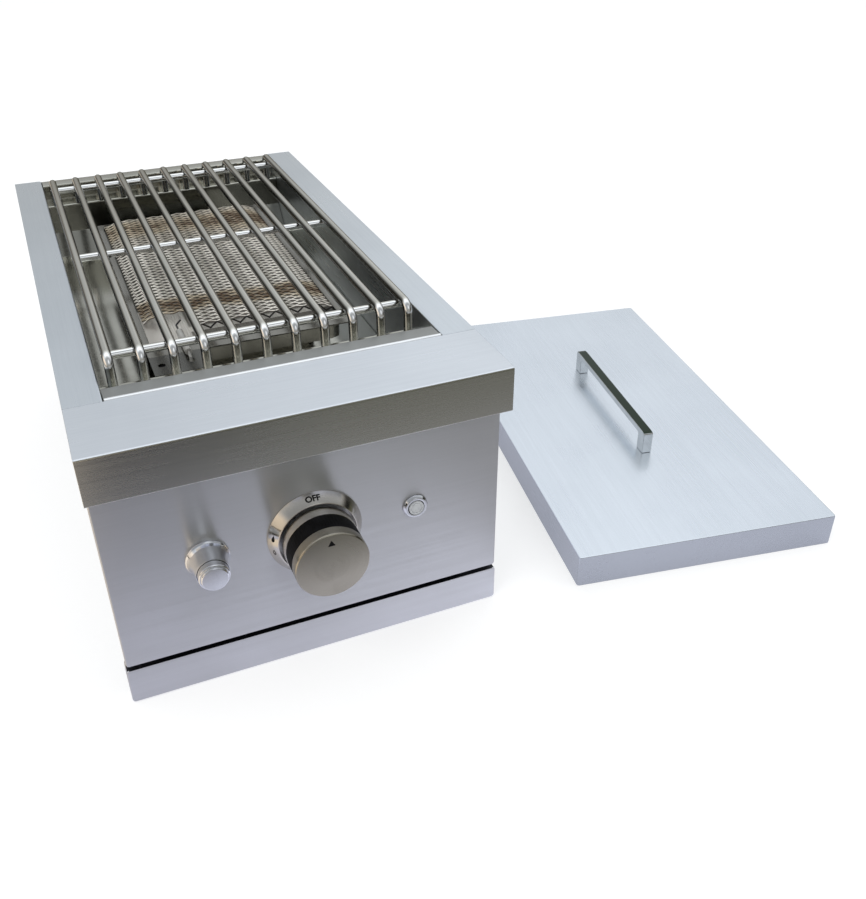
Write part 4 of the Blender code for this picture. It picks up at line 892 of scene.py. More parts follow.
class Loom(Board):
    """A geometry tree under construction, with named inputs."""

    family = "GeometryNode"

    def __init__(self, name: str, sizes: object, fields: str, **more: float) -> None:
        """Starts a tree.

        Args:
            name: The tree's name.
            sizes: The sub-assembly that holds the sizes.
            fields: Names of its sizes that become inputs of the tree.
            more: Further inputs and what each is set to.
        """
        super().__init__(bpy.data.node_groups.new(name, "GeometryNodeTree"))
        self.dials = {key: getattr(sizes, key) for key in fields.split()} | more
        face = self.tree.interface
        face.new_socket("Geometry", in_out="INPUT", socket_type="NodeSocketGeometry")
        for dial, value in self.dials.items():
            kind = "NodeSocketInt" if isinstance(value, int) else "NodeSocketFloat"
            face.new_socket(dial, in_out="INPUT", socket_type=kind)
        face.new_socket("Geometry", in_out="OUTPUT", socket_type="NodeSocketGeometry")
        self.entry = self.tree.nodes.new("NodeGroupInput")

    def __getitem__(self, dial: str) -> Signal:
        """The signal of a named input."""
        return Signal(self, self.entry.outputs[dial])

    def row(self, count: Value, start: Value, step: Value) -> Signal:
        """Lays points from a start at equal steps."""
        sockets = {"Count": count, "Start Location": start, "Offset": step}
        return self.out("MeshLine", sockets, mode="OFFSET")

    def repeat(self, points: Signal, instance: Signal, **sockets: Value) -> Signal:
        """Sets an instance on every point."""
        return self.out("InstanceOnPoints", {"Points": points, "Instance": instance, **sockets})

    def real(self, geometry: Signal) -> Signal:
        """Turns instances into plain geometry."""
        return self.out("RealizeInstances", {0: geometry})

    def sweep(self, route: Signal, section: Signal) -> Signal:
        """Draws a section along a route and closes both ends."""
        sockets = {"Curve": route, "Profile Curve": section, "Fill Caps": True}
        return self.out("CurveToMesh", sockets)

    def close(self, finish: Finish, *parts: Signal) -> None:
        """Ends the tree in Realize Instances and Set Material.

        Args:
            finish: What its parts wear.
            parts: What the tree has made.
        """
        joined = self.node("JoinGeometry")
        for part in parts:
            self.tree.links.new(part.socket, joined.inputs[0])
        whole = self.real(Signal(self, joined.outputs[0]))
        worn = self.out("SetMaterial", {0: whole, "Material": paint(finish)})
        self.node("NodeGroupOutput", {0: worn})

    def weave(self, points: Sequence[Sequence[float]], joined: bool = False) -> bpy.types.Mesh:
        """Runs the tree on points.

        Args:
            points: Where they lie.
            joined: True to join them by one line.

        Returns:
            What the tree makes, as a plain mesh.
        """
        host = bpy.data.meshes.new("host")
        edges = [(i, i + 1) for i in range(len(points) - 1)] if joined else []
        host.from_pydata(list(points), edges, [])
        return self.weave_on(host)

    def weave_on(self, host: bpy.types.Mesh) -> bpy.types.Mesh:
        """Runs the tree on a mesh.

        Args:
            host: The mesh that the tree starts from.

        Returns:
            What the tree makes, as a plain mesh.
        """
        carrier = show("carrier", host)
        modifier = carrier.modifiers.new("tree", "NODES")
        modifier.node_group = self.tree
        for item in self.tree.interface.items_tree:
            if item.in_out == "INPUT" and item.name in self.dials:
                modifier[item.identifier] = self.dials[item.name]
        depsgraph = bpy.context.evaluated_depsgraph_get()
        evaluated = carrier.evaluated_get(depsgraph)
        mesh = bpy.data.meshes.new_from_object(evaluated, depsgraph=depsgraph)
        carrier.modifiers.remove(modifier)
        bpy.data.objects.remove(carrier)
        return mesh


@dataclass
class SheetWork:
    """The folded sheets, each a merged copy of its CAD node with eased edges.

    Attributes:
        edge: Rounding of the cut edges.
        hem: Half the length, half the depth and half the height of the tub's front hem.
        hem_place: Its middle.
        hole_shade: Radius and height of a black disc, painted shade under the plate's screw hole.
        hole_shade_place: Its x and y, under the electrode plate.
        hole_shade_gap: How far it hangs under the plate.
        strip_edge: The strip's rear edge: from y, to y, above z.
        strip_fall: How far that edge lies lower than the front one.
        strip_margin: How far below that edge a face still belongs to the strip.
        lip_height: Height over which the tray front's top faces are painted black as slot shade.
        upward: Share of its normal from which a face counts as a top.
        frontal: Share of its normal from which a face counts as a front.
        finishes: What each sheet with eased edges wears.
        zinced: Nodes that keep their CAD mesh and wear zinc.
        gasket: The node that keeps its CAD mesh and wears fibre.
    """

    edge: float = 0.0002
    hem: Point = (0.1300, 0.0020, 0.0011)
    hem_place: Point = (0.0, -0.2320, 0.2408)
    hole_shade: Pair = (0.0062, 0.0012)
    hole_shade_place: Pair = (-0.0795, -0.1538)
    hole_shade_gap: float = 0.0001
    strip_edge: Point = (-0.2135, -0.2105, 0.2384)
    strip_fall: float = 0.0010
    strip_margin: float = 0.001
    lip_height: float = 0.0335
    upward: float = 0.5
    frontal: float = 0.8
    finishes: tuple[tuple[str, Finish], ...] = (
        ("apron", DECK), ("side_frame_left", FLANGE), ("side_frame_right", FLANGE),
        ("control_panel", FASCIA), ("tray_front", FASCIA), ("tub_sheet", TUB_STEEL),
        ("burner_box", BURNER_STEEL), ("plaque_frame", FRAME_STEEL),
        ("electrode_plate", PLATE_STEEL), ("grease_tray", ZINC), ("outer_shell", ZINC),
        ("rear_panel", ZINC),
    )
    zinced: tuple[str, ...] = (
        "panel_bracket_left", "panel_bracket_right", "heat_shield", "tray_runner_left",
        "tray_runner_right", "burner_support_front", "burner_support_rear",
        "manifold_bracket_left", "manifold_bracket_right", "igniter_nut", "switch_nut",
    )
    gasket: str = "plaque_gasket"

    def build(self) -> None:
        """Makes every sheet."""
        for node, finish in self.finishes:
            mesh = merged_copy(node)
            if node == "tub_sheet":
                self._lean(mesh)
            enter(f"{node}_sheet", mesh, finish, BODY_OF[node], node, edge=self.edge)
            self._face(mesh, node)
        for node in (*self.zinced, self.gasket):
            materials = frame["nodes"][node].data.materials
            materials.clear()
            materials.append(paint(FIBRE if node == self.gasket else ZINC))
        # The tub's front hem, drawn near white as a painted highlight line.
        half, depth, height = self.hem
        x, y, z = self.hem_place
        hem = drum(16, (0.0, 0.0, half * 2, x), (depth, 0.0, 0.0, y), (0.0, height, 0.0, z))
        enter("tub_front_hem", hem, HEM_PAINTED_HIGHLIGHT, "casing")
        # A black disc under the electrode plate's screw hole: painted shade.
        radius, height = self.hole_shade
        x, y = self.hole_shade_place
        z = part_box("electrode_plate")[0].z - self.hole_shade_gap - height / 2
        hole_shade = drum(24, (radius, 0.0, 0.0, x), (0.0, radius, 0.0, y), (0.0, 0.0, height, z))
        enter("plate_hole_shade", hole_shade, GRIP, "casing")

    def _lean(self, mesh: bpy.types.Mesh) -> None:
        """Leans the tub's front strip down towards the grate.

        Args:
            mesh: The tub's mesh.
        """
        front, rear, above = self.strip_edge
        for vertex in mesh.vertices:
            if front < vertex.co.y < rear and vertex.co.z > above:
                vertex.co.z -= self.strip_fall
        mesh.update()

    def _face(self, mesh: bpy.types.Mesh, node: str) -> None:
        """Gives three sheets' seen faces a darker finish, as painted shade and reflection.

        Args:
            mesh: The sheet's mesh, with its first material.
            node: The sheet.
        """
        _, rear, above = self.strip_edge
        strip_floor = above - self.strip_fall - self.strip_margin
        rows: dict[str, tuple[Finish, Callable[[Vector, Vector], bool]]] = {
            "tub_sheet": (
                STRIP_PAINTED_SHADE,
                lambda p, way: p.y < rear and p.z > strip_floor and way.z > self.upward,
            ),
            "tray_front": (SLOT_PAINTED_SHADE, lambda p, way: p.z > self.lip_height and way.z > self.upward),
            "apron": (APRON_PAINTED_SHADE, lambda p, way: way.y < -self.frontal),
        }
        if node in rows:
            finish, chosen = rows[node]
            mesh.materials.append(paint(finish))
            for face in mesh.polygons:
                face.material_index = int(chosen(face.center, face.normal))


@dataclass
class RoundWork:
    """Tubes, rods and turned pieces kept from the CAD, with smooth sides."""

    finishes: tuple[tuple[str, Finish], ...] = (
        ("manifold_tube", ZINC), ("gas_inlet_tube", ZINC), ("inlet_fitting", BRASS),
        ("valve_body", BRASS), ("valve_plug", BRASS), ("valve_stem", BRASS),
        ("orifice_spud", BRASS), ("mixer_tube", CASTING), ("air_shutter", ZINC),
        ("electrode_insulator", GLAZE), ("electrode_pin", CASTING), ("ignition_lead", SLEEVE),
        ("igniter_body", GRIP), ("switch_body", GRIP), ("handle_screw_front", ZINC),
        ("handle_screw_rear", ZINC),
    )

    def build(self) -> None:
        """Makes every round piece."""
        for node, finish in self.finishes:
            enter(f"{node}_round", merged_copy(node), finish, BODY_OF[node], node, edge=0.0)


@dataclass
class CookingGrate:
    """Bent round rods welded on cross bars.

    The rods' legs stand at front and rear. foot, axis and bar_axis are heights, of the legs' ends
    and of the middles of rods and bars. spread is half the distance between the outer rods, and
    bar_half half a bar's length. bend is the radius of a rod's bend, made in bend_steps pieces. A
    weld bead is a ball of a bar's radius, stretched by bead_shape and lifted by bead_lift.
    """

    rods: int = 11
    bars: int = 3
    rod_radius: float = 0.00375
    bar_radius: float = 0.0035
    bend: float = 0.008
    bend_steps: int = 8
    spread: float = 0.1201
    front: float = -0.187
    rear: float = 0.267
    foot: float = 0.2246
    axis: float = 0.2503
    bar_axis: float = 0.2442
    bar_half: float = 0.1235
    first_bar: float = -0.170
    last_bar: float = 0.250
    sides: int = 20
    bead_shape: Point = (1.25, 1.0, 0.55)
    bead_lift: float = 0.0030

    def _route(self) -> list[Point]:
        """Draws the middle line of one rod.

        Returns:
            The line's points, with its two bends.
        """
        turns = [math.pi / 2 * step / self.bend_steps for step in range(self.bend_steps + 1)]
        low = self.axis - self.bend
        ahead, behind = (
            [(0.0, y + reach * math.cos(turn), low + self.bend * math.sin(turn)) for turn in turns]
            for y, reach in (
                (self.front + self.bend, -self.bend), (self.rear - self.bend, self.bend)
            )
        )
        feet = [(0.0, y, self.foot) for y in (self.front, self.rear)]
        return [feet[0], *ahead, *reversed(behind), feet[1]]

    def _tree(self) -> Loom:
        """Lays out rods, bars and weld beads.

        Returns:
            The tree.
        """
        loom = Loom(
            "grate_tree", self,
            "rods bars sides rod_radius bar_radius spread bar_half first_bar last_bar bar_axis",
        )
        spread, half, first = loom["spread"], loom["bar_half"], loom["first_bar"]
        rod_step = spread * 2.0 / (loom["rods"] - 1.0)
        rod_row = loom.row(loom["rods"], loom.vector(spread * -1.0), loom.vector(rod_step))
        bar_step = (loom["last_bar"] - first) / (loom["bars"] - 1.0)
        start = loom.vector(0.0, first, loom["bar_axis"])
        bar_row = loom.row(loom["bars"], start, loom.vector(0.0, bar_step))
        ends = {"Start": loom.vector(half * -1.0), "End": loom.vector(half)}
        rod, bar = (
            loom.sweep(
                loom.out(kind, sockets),
                loom.out("CurvePrimitiveCircle", {"Resolution": loom["sides"], "Radius": radius}),
            )
            for kind, sockets, radius in (
                ("MeshToCurve", {0: loom["Geometry"]}, loom["rod_radius"]),
                ("CurvePrimitiveLine", ends, loom["bar_radius"]),
            )
        )
        crossings = loom.real(loom.repeat(bar_row, rod_row))
        bead = loom.out("MeshUVSphere", {"Segments": 12, "Rings": 6, "Radius": loom["bar_radius"]})
        beads = loom.repeat(crossings, bead, Scale=self.bead_shape)
        raised = {0: beads, "Translation": (0.0, 0.0, self.bead_lift)}
        loom.close(
            ROD_STEEL,
            loom.repeat(rod_row, rod),
            loom.repeat(bar_row, bar),
            loom.out("TranslateInstances", raised),
        )
        return loom

    def build(self) -> None:
        """Makes the grate."""
        mesh = self._tree().weave(self._route(), joined=True)
        smooth(mesh)
        enter("grate_rods", mesh, ROD_STEEL, "grate", "grate")


@dataclass
class InfraredBurner:
    """The plaques with their ports and the expanded-metal screen over them.

    The screen has strands zigzags from front to rear, each with knuckles half diamonds, which
    swing off its line by a share of the pitch. The strands lean forward by strand_tilt, and the
    front one's points are bent down by edge_drop. The screen lies at top out to flat_half, and
    its side bands slope down by band_fall to half_width. The notch for the electrode takes what
    lies left of notch_x and ahead of notch_y. port_share is a port's width over its pitch.
    """

    strands: int = 84
    knuckles: int = 25
    swing: float = 0.46
    strand_width: float = 0.0016
    strand_height: float = 0.0008
    strand_tilt: float = 0.50
    edge_drop: float = 0.0032
    half_width: float = 0.0805
    flat_half: float = 0.067
    front: float = -0.1055
    rear: float = 0.1822
    top: float = 0.2246
    band_fall: float = 0.0052
    notch_x: float = -0.0470
    notch_y: float = -0.0735
    port_pitch: float = 0.0022
    port_depth: float = 0.0008
    port_share: float = 0.16

    def _screen_tree(self) -> Loom:
        """Lays the zigzag strands.

        Returns:
            The tree.
        """
        loom = Loom(
            "expanded_metal_tree", self,
            "strands knuckles swing strand_width strand_height strand_tilt edge_drop half_width"
            " flat_half front rear top band_fall notch_x notch_y",
        )
        half, knots = loom["half_width"], loom["knuckles"] + 1.0
        pitch = (loom["rear"] - loom["front"]) / loom["strands"]
        knuckle = loom.vector(half * 2.0 / loom["knuckles"])
        strand = loom.row(knots, (0.0, 0.0, 0.0), knuckle)
        start = loom.vector(half * -1.0, loom["front"] + pitch * 0.5)
        rows = loom.row(loom["strands"], start, loom.vector(0.0, pitch))
        index = loom.out("InputIndex")
        row = (index / knots + 0.0001).floor()
        parity = (index - row * knots + row) % 2.0
        x, y, _ = loom.split(loom.out("InputPosition"))
        swing = (parity.above(0.5) * 2.0 - 1.0) * pitch * loom["swing"]
        drop = (x.absolute() - loom["flat_half"]).most(0.0) / (half - loom["flat_half"])
        bent = row.below(0.5) * parity.below(0.5) * loom["edge_drop"]
        place = loom.vector(x, y + swing, loom["top"] - (drop * loom["band_fall"] + bent))
        strands = loom.real(loom.repeat(rows, strand))
        placed = loom.out("SetPosition", {0: strands, "Position": place})
        notched = x.below(loom["notch_x"]) * y.below(loom["notch_y"])
        kept = loom.out("DeleteGeometry", {0: placed, "Selection": notched}, domain="POINT")
        level = loom.out("SetCurveNormal", {0: loom.out("MeshToCurve", {0: kept})}, mode="Z_UP")
        leant = loom.out("SetCurveTilt", {0: level, "Tilt": loom["strand_tilt"]})
        size = {"Width": loom["strand_width"], "Height": loom["strand_height"]}
        section = loom.out("CurvePrimitiveQuadrilateral", size)
        loom.close(MESH_STEEL, loom.sweep(leant, section))
        return loom

    def _port_tree(self, span: Vector) -> Loom:
        """Sinks ports into the face of a plaque.

        Args:
            span: The plaque's size.

        Returns:
            The tree.
        """
        fields = "port_pitch port_depth port_share"
        loom = Loom("port_tree", self, fields, width=span.x, length=span.y)
        size: dict[str, Value] = {}
        for axis, length in (("X", loom["width"]), ("Y", loom["length"])):
            size[f"Size {axis}"] = length
            size[f"Vertices {axis}"] = (length / loom["port_pitch"]).floor() + 1.0
        sockets: dict[str, Value] = {"Mesh": loom.out("MeshGrid", size), "Offset Scale": 0.0}
        inset = loom.node("ExtrudeMesh", sockets | {"Individual": True}, mode="FACES")
        face, tops = (Signal(loom, inset.outputs[index]) for index in (0, 1))
        sockets = {0: face, "Selection": tops, "Scale": loom["port_share"]}
        shrunk = loom.out("ScaleElements", sockets, domain="FACE")
        sockets = {
            "Mesh": shrunk,
            "Selection": tops,
            "Offset": (0.0, 0.0, -1.0),
            "Offset Scale": loom["port_depth"],
            "Individual": True,
        }
        loom.close(PLAQUE, loom.out("ExtrudeMesh", sockets, mode="FACES"))
        return loom

    def _plaque(self, node: str) -> None:
        """Makes one plaque: a ported face closed by its sides and back.

        Args:
            node: The CAD node.
        """
        low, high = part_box(node)
        span, middle = high - low, (low + high) / 2
        work = bmesh.new()
        work.from_mesh(self._port_tree(span).weave([(0.0, 0.0, 0.0)]))
        bmesh.ops.remove_doubles(work, verts=work.verts, dist=WELD_DISTANCE)
        bmesh.ops.translate(work, verts=work.verts, vec=(middle.x, middle.y, high.z))
        rim = [edge for edge in work.edges if edge.is_boundary]
        lift(work, bmesh.ops.extrude_edge_only(work, edges=rim), -span.z)
        back = [edge for edge in work.edges if edge.is_boundary]
        bmesh.ops.holes_fill(work, edges=back, sides=0)
        enter(f"{node}_ported", cast(work, smoothed=False), PLAQUE, "casing", node)

    def build(self) -> None:
        """Makes the screen and the plaques."""
        screen = self._screen_tree().weave([(0.0, 0.0, 0.0)])
        enter("screen_strands", screen, MESH_STEEL, "casing", "burner_screen")
        for node in ("plaque_front", "plaque_middle", "plaque_rear"):
            self._plaque(node)


@dataclass
class KnobGroup:
    """Bezel with its marks, and the knob in three layers.

    Profiles are radius and distance forward of the panel. The grip band runs from band_start to
    band_end, in rows faces, and what lies within band_skin of its radius carries ridges of
    ridge_height round it, with row_pitch between two along it. The bezel's marks lie on
    mark_radius. A mark is as thick as ink, and its back lies ink_sunk under the surface. edge and
    bezel_edge round the knob's and the bezel's edges.
    """

    steps: int = 96
    edge: float = 0.0004
    bezel_edge: float = 0.0003
    ridges: int = 72
    ridge_height: float = 0.00018
    row_pitch: float = 0.0019
    rows: int = 14
    bezel: Profile = (
        (0.0310, 0.0003), (0.0380, 0.0003), (0.0380, 0.0012), (0.0318, 0.0095), (0.0310, 0.0095),
    )
    base_ring: Profile = (
        (0.0264, 0.0105), (0.0293, 0.0105), (0.0293, 0.0202), (0.0264, 0.0202),
    )
    band_start: float = 0.0204
    band_end: float = 0.0358
    band_radius: float = 0.0288
    band_inner: float = 0.0264
    band_skin: float = 0.0002
    cap: Profile = (
        (0.0, 0.0303), (0.0033, 0.0303), (0.0033, 0.0080), (0.0090, 0.0080), (0.0090, 0.0400),
        (0.0264, 0.0400), (0.0264, 0.0360), (0.0289, 0.0360), (0.0289, 0.0445), (0.0281, 0.0455),
        (0.0, 0.0455),
    )
    mark_radius: float = 0.0348
    pointer: Profile = ((-0.0028, 0.0187), (0.0028, 0.0187), (0.0, 0.0234))
    ink: float = 0.00022
    ink_sunk: float = 0.00002

    def _grip(self) -> bpy.types.Mesh:
        """Makes the grip band, its outer face raised in crossed ridges by a tree.

        Returns:
            Its mesh.
        """
        length = self.band_end - self.band_start
        shares = [row / self.rows for row in range(self.rows + 1)]
        outer = [(self.band_radius, self.band_start + length * share) for share in shares]
        inner = [(self.band_inner, end) for end in (self.band_start, self.band_end)]
        host = lathe([inner[0], *outer, inner[1]], self.ridges * 4, KNOB_AXIS)
        fields = "ridges ridge_height row_pitch band_radius"
        loom = Loom("grip_tree", self, fields, axis_height=CONTROL_Z)
        x, y, z = loom.split(loom.out("InputPosition"))
        up = z - loom["axis_height"]
        around = (x.bearing(up) * loom["ridges"]).sine()
        pattern = around * 0.5 + (y / loom["row_pitch"] * math.tau).sine() * 0.5
        radius = (x * x + up * up).root()
        outside = radius.above(loom["band_radius"] - self.band_skin)
        push = pattern * outside * loom["ridge_height"]
        offset = loom.vector(x / radius * push, 0.0, up / radius * push)
        loom.close(GRIP, loom.out("SetPosition", {0: loom["Geometry"], "Offset": offset}))
        return loom.weave_on(host)

    def _on_bezel(self, place: Vector, angle: float) -> Vector:
        """Puts a flat mark's point on the bezel's cone.

        Args:
            place: The point: across, outwards and up from the surface.
            angle: Where the mark stands round the axis, from the top.

        Returns:
            The point in the row frame.
        """
        (rim, low), (mouth, high) = self.bezel[2:4]
        slant = Vector((rim - mouth, low - high)).normalized()
        turn = angle + place.x / self.mark_radius
        reach = self.mark_radius + place.y * slant.x - place.z * slant.y
        surface = low + (rim - self.mark_radius) / (rim - mouth) * (high - low)
        ahead = surface + place.y * slant.y + place.z * slant.x
        x, z = reach * math.sin(turn), CONTROL_Z + reach * math.cos(turn)
        return Vector((x, PANEL_FACE_Y - ahead, z))

    @staticmethod
    def _word(text: str, size: float) -> bpy.types.Mesh:
        """A flat word with a little thickness.

        Args:
            text: The word.
            size: Height of its font.

        Returns:
            The word's mesh.
        """
        curve = bpy.data.curves.new("word", "FONT")
        curve.body = text
        curve.size = size
        curve.align_x = "CENTER"
        curve.align_y = "CENTER"
        curve.extrude = 0.00004
        curve.offset = 0.00026
        curve.resolution_u = 4
        carrier = bpy.data.objects.new("word", curve)
        mesh = bpy.data.meshes.new_from_object(carrier)
        bpy.data.objects.remove(carrier)
        return mesh

    def _stamp(self, outline: Profile, hollow: float = 0.0) -> bpy.types.Mesh:
        """A flat mark from its outline, with a little thickness.

        Args:
            outline: Its points in order.
            hollow: Size of the bare middle as a share of the mark.

        Returns:
            The mark's mesh.
        """
        work = bmesh.new()
        rim, core = (
            [work.verts.new((x * size, y * size, -self.ink_sunk)) for x, y in outline if size]
            for size in (1.0, hollow)
        )
        flat = [
            work.faces.new((rim[i - 1], rim[i], core[i], core[i - 1])) for i in range(len(core))
        ] or [work.faces.new(rim)]
        lift(work, bmesh.ops.extrude_face_region(work, geom=flat), self.ink)
        return cast(work, smoothed=False)

    @staticmethod
    def _drop(size: float, points: int = 20) -> list[Pair]:
        """Outline of a small flame whose tip points along the bezel's rim.

        Args:
            size: Twice its greatest width.
            points: Number of its points.

        Returns:
            Its points in order.
        """
        outline = []
        for step in range(points):
            angle = math.tau * step / points
            narrow = math.sin(angle / 2) ** 1.3
            outline.append((size * 0.75 * math.cos(angle), size * 0.5 * math.sin(angle) * narrow))
        return outline

    def build(self) -> None:
        """Makes the bezel, its marks and the knob."""
        for name, profile, edge, finish, body, node in (
            ("bezel_spun", self.bezel, self.bezel_edge, SPUN_STEEL, "casing", "bezel"),
            (
                "base_ring_turned", self.base_ring, self.edge, SPUN_STEEL, "control_knob",
                "base_ring",
            ),
            ("cap_turned", self.cap, self.edge, TURNED_STEEL, "control_knob", "cap"),
        ):
            mesh = lathe(eased(profile, edge), self.steps, KNOB_AXIS)
            enter(f"knob_{name}", mesh, finish, body, f"knob_{node}")
        grip = self._grip()
        smooth(grip)
        enter("knob_grip_ridged", grip, GRIP, "control_knob", "knob_grip_band")
        face = PANEL_FACE_Y - self.cap[-1][1] - self.ink_sunk
        for name, mesh, angle in (
            ("bezel_off_mark", self._word("OFF", 0.0066), -1.6),
            ("bezel_high_mark", self._stamp(self._drop(0.0038)), -79.0),
            ("bezel_low_mark", self._stamp(self._drop(0.0034), 0.7), -100.0),
            ("knob_pointer_mark", self._stamp(self.pointer), None),
        ):
            for vertex in mesh.vertices:
                place = vertex.co.copy()
                if angle is None:
                    vertex.co = (place.x, face - place.z, CONTROL_Z + place.y)
                else:
                    vertex.co = self._on_bezel(place, math.radians(angle))
            mesh.update()
            enter(name, mesh, INK, "control_knob" if angle is None else "casing")


@dataclass
class PushControls:
    """The igniter and the light switch: profiles of radius and distance forward of the panel."""

    steps: int = 72
    edge: float = 0.00025
    igniter_bezel: Profile = (
        (0.0121, 0.0003), (0.0170, 0.0003), (0.0170, 0.0018), (0.0160, 0.0026), (0.0146, 0.0050),
        (0.0136, 0.0095), (0.0129, 0.0150), (0.0127, 0.0186), (0.0121, 0.0186),
    )
    igniter_button: Profile = (
        (0.0, -0.0072), (0.0040, -0.0072), (0.0040, 0.0048), (0.0118, 0.0048), (0.0118, 0.0238),
        (0.0110, 0.0245), (0.0103, 0.0245), (0.0103, 0.0260), (0.0096, 0.0267), (0.0, 0.0267),
    )
    switch_bezel: Profile = (
        (0.0070, 0.0003), (0.0106, 0.0003), (0.0106, 0.0012), (0.0090, 0.0033), (0.0070, 0.0033),
    )
    switch_button: Profile = (
        (0.0, -0.0037), (0.0025, -0.0037), (0.0025, 0.0023), (0.0063, 0.0023), (0.0063, 0.0041),
        (0.0048, 0.0041), (0.0047, 0.0037), (0.0043, 0.0037), (0.0042, 0.0041), (0.0, 0.0041),
    )

    def build(self) -> None:
        """Makes both controls."""
        for node, profile, x, finish, body in (
            ("igniter_bezel", self.igniter_bezel, -CONTROL_X, CHROME, "casing"),
            ("igniter_button", self.igniter_button, -CONTROL_X, CHROME, "igniter_plunger"),
            ("switch_bezel", self.switch_bezel, CONTROL_X, CHROME, "casing"),
            ("switch_button", self.switch_button, CONTROL_X, CAP, "light_button"),
        ):
            centre = (x, PANEL_FACE_Y, CONTROL_Z)
            mesh = lathe(eased(profile, self.edge), self.steps, centre)
            enter(f"{node}_turned", mesh, finish, body, node)


@dataclass
class LaidLid:
    """The lid beside the casing, with its bar handle.

    Attributes:
        edge: Rounding of its cut edges.
        handle_edge: Rounding of the handle's edges.
        leg_share: Share of its length that the space between the handle's legs keeps.
        end_faces: How near to the bar's ends its end faces lie.
    """

    edge: float = 0.0002
    handle_edge: float = 0.0004
    leg_share: float = 0.96
    end_faces: float = 0.001

    def build(self) -> None:
        """Makes the cover and the handle."""
        cover = merged_copy("lid_cover")
        enter("lid_cover_sheet", cover, LID_STEEL, "lid", "lid_cover", edge=self.edge)
        bar = merged_copy("lid_handle")
        middle = sum((vertex.co for vertex in bar.vertices), Vector()) / len(bar.vertices)
        along = Vector((-math.sin(LID_TURN), math.cos(LID_TURN), 0.0))
        offsets = [(vertex.co - middle).dot(along) for vertex in bar.vertices]
        reach = max(offsets) - self.end_faces
        for vertex, offset in zip(bar.vertices, offsets):
            if abs(offset) < reach:
                vertex.co -= along * (offset * (1 - self.leg_share))
        enter("lid_handle_bar", bar, HANDLE_CHROME, "lid", "lid_handle", edge=self.handle_edge)


@dataclass
class Fasteners:
    """Hex washer-head screws that hold the rear panel, at heights above the base and at an inset
    from the panel's side edges. head_radius is that of the hexagon's corners."""

    flange_radius: float = 0.0042
    flange_height: float = 0.0006
    head_radius: float = 0.0032
    head_height: float = 0.0022
    inset: float = 0.008
    heights: tuple[float, ...] = (0.030, 0.105, 0.180)

    def _tree(self) -> Loom:
        """Sets a screw on every point, its head towards the rear.

        Returns:
            The tree.
        """
        fields = "flange_radius flange_height head_radius head_height"
        loom = Loom("screw_tree", self, fields)
        screw = []
        for sides, part in ((20, "flange"), (6, "head")):
            height = loom[f"{part}_height"]
            size = {"Vertices": sides, "Radius": loom[f"{part}_radius"], "Depth": height}
            sockets = {
                0: loom.out("MeshCylinder", size),
                "Translation": loom.vector(0.0, 0.0, height * 0.5),
            }
            screw.append(loom.out("Transform", sockets))
        rearward = (-math.pi / 2, 0.0, 0.0)
        points = loom["Geometry"]
        loom.close(ZINC, *(loom.repeat(points, part, Rotation=rearward) for part in screw))
        return loom

    def build(self) -> None:
        """Makes the screws."""
        low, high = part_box("rear_panel")
        sides = (low.x + self.inset, high.x - self.inset)
        mesh = self._tree().weave([(x, high.y, z) for x in sides for z in self.heights])
        smooth(mesh)
        enter("rear_screws", mesh, ZINC, "casing")


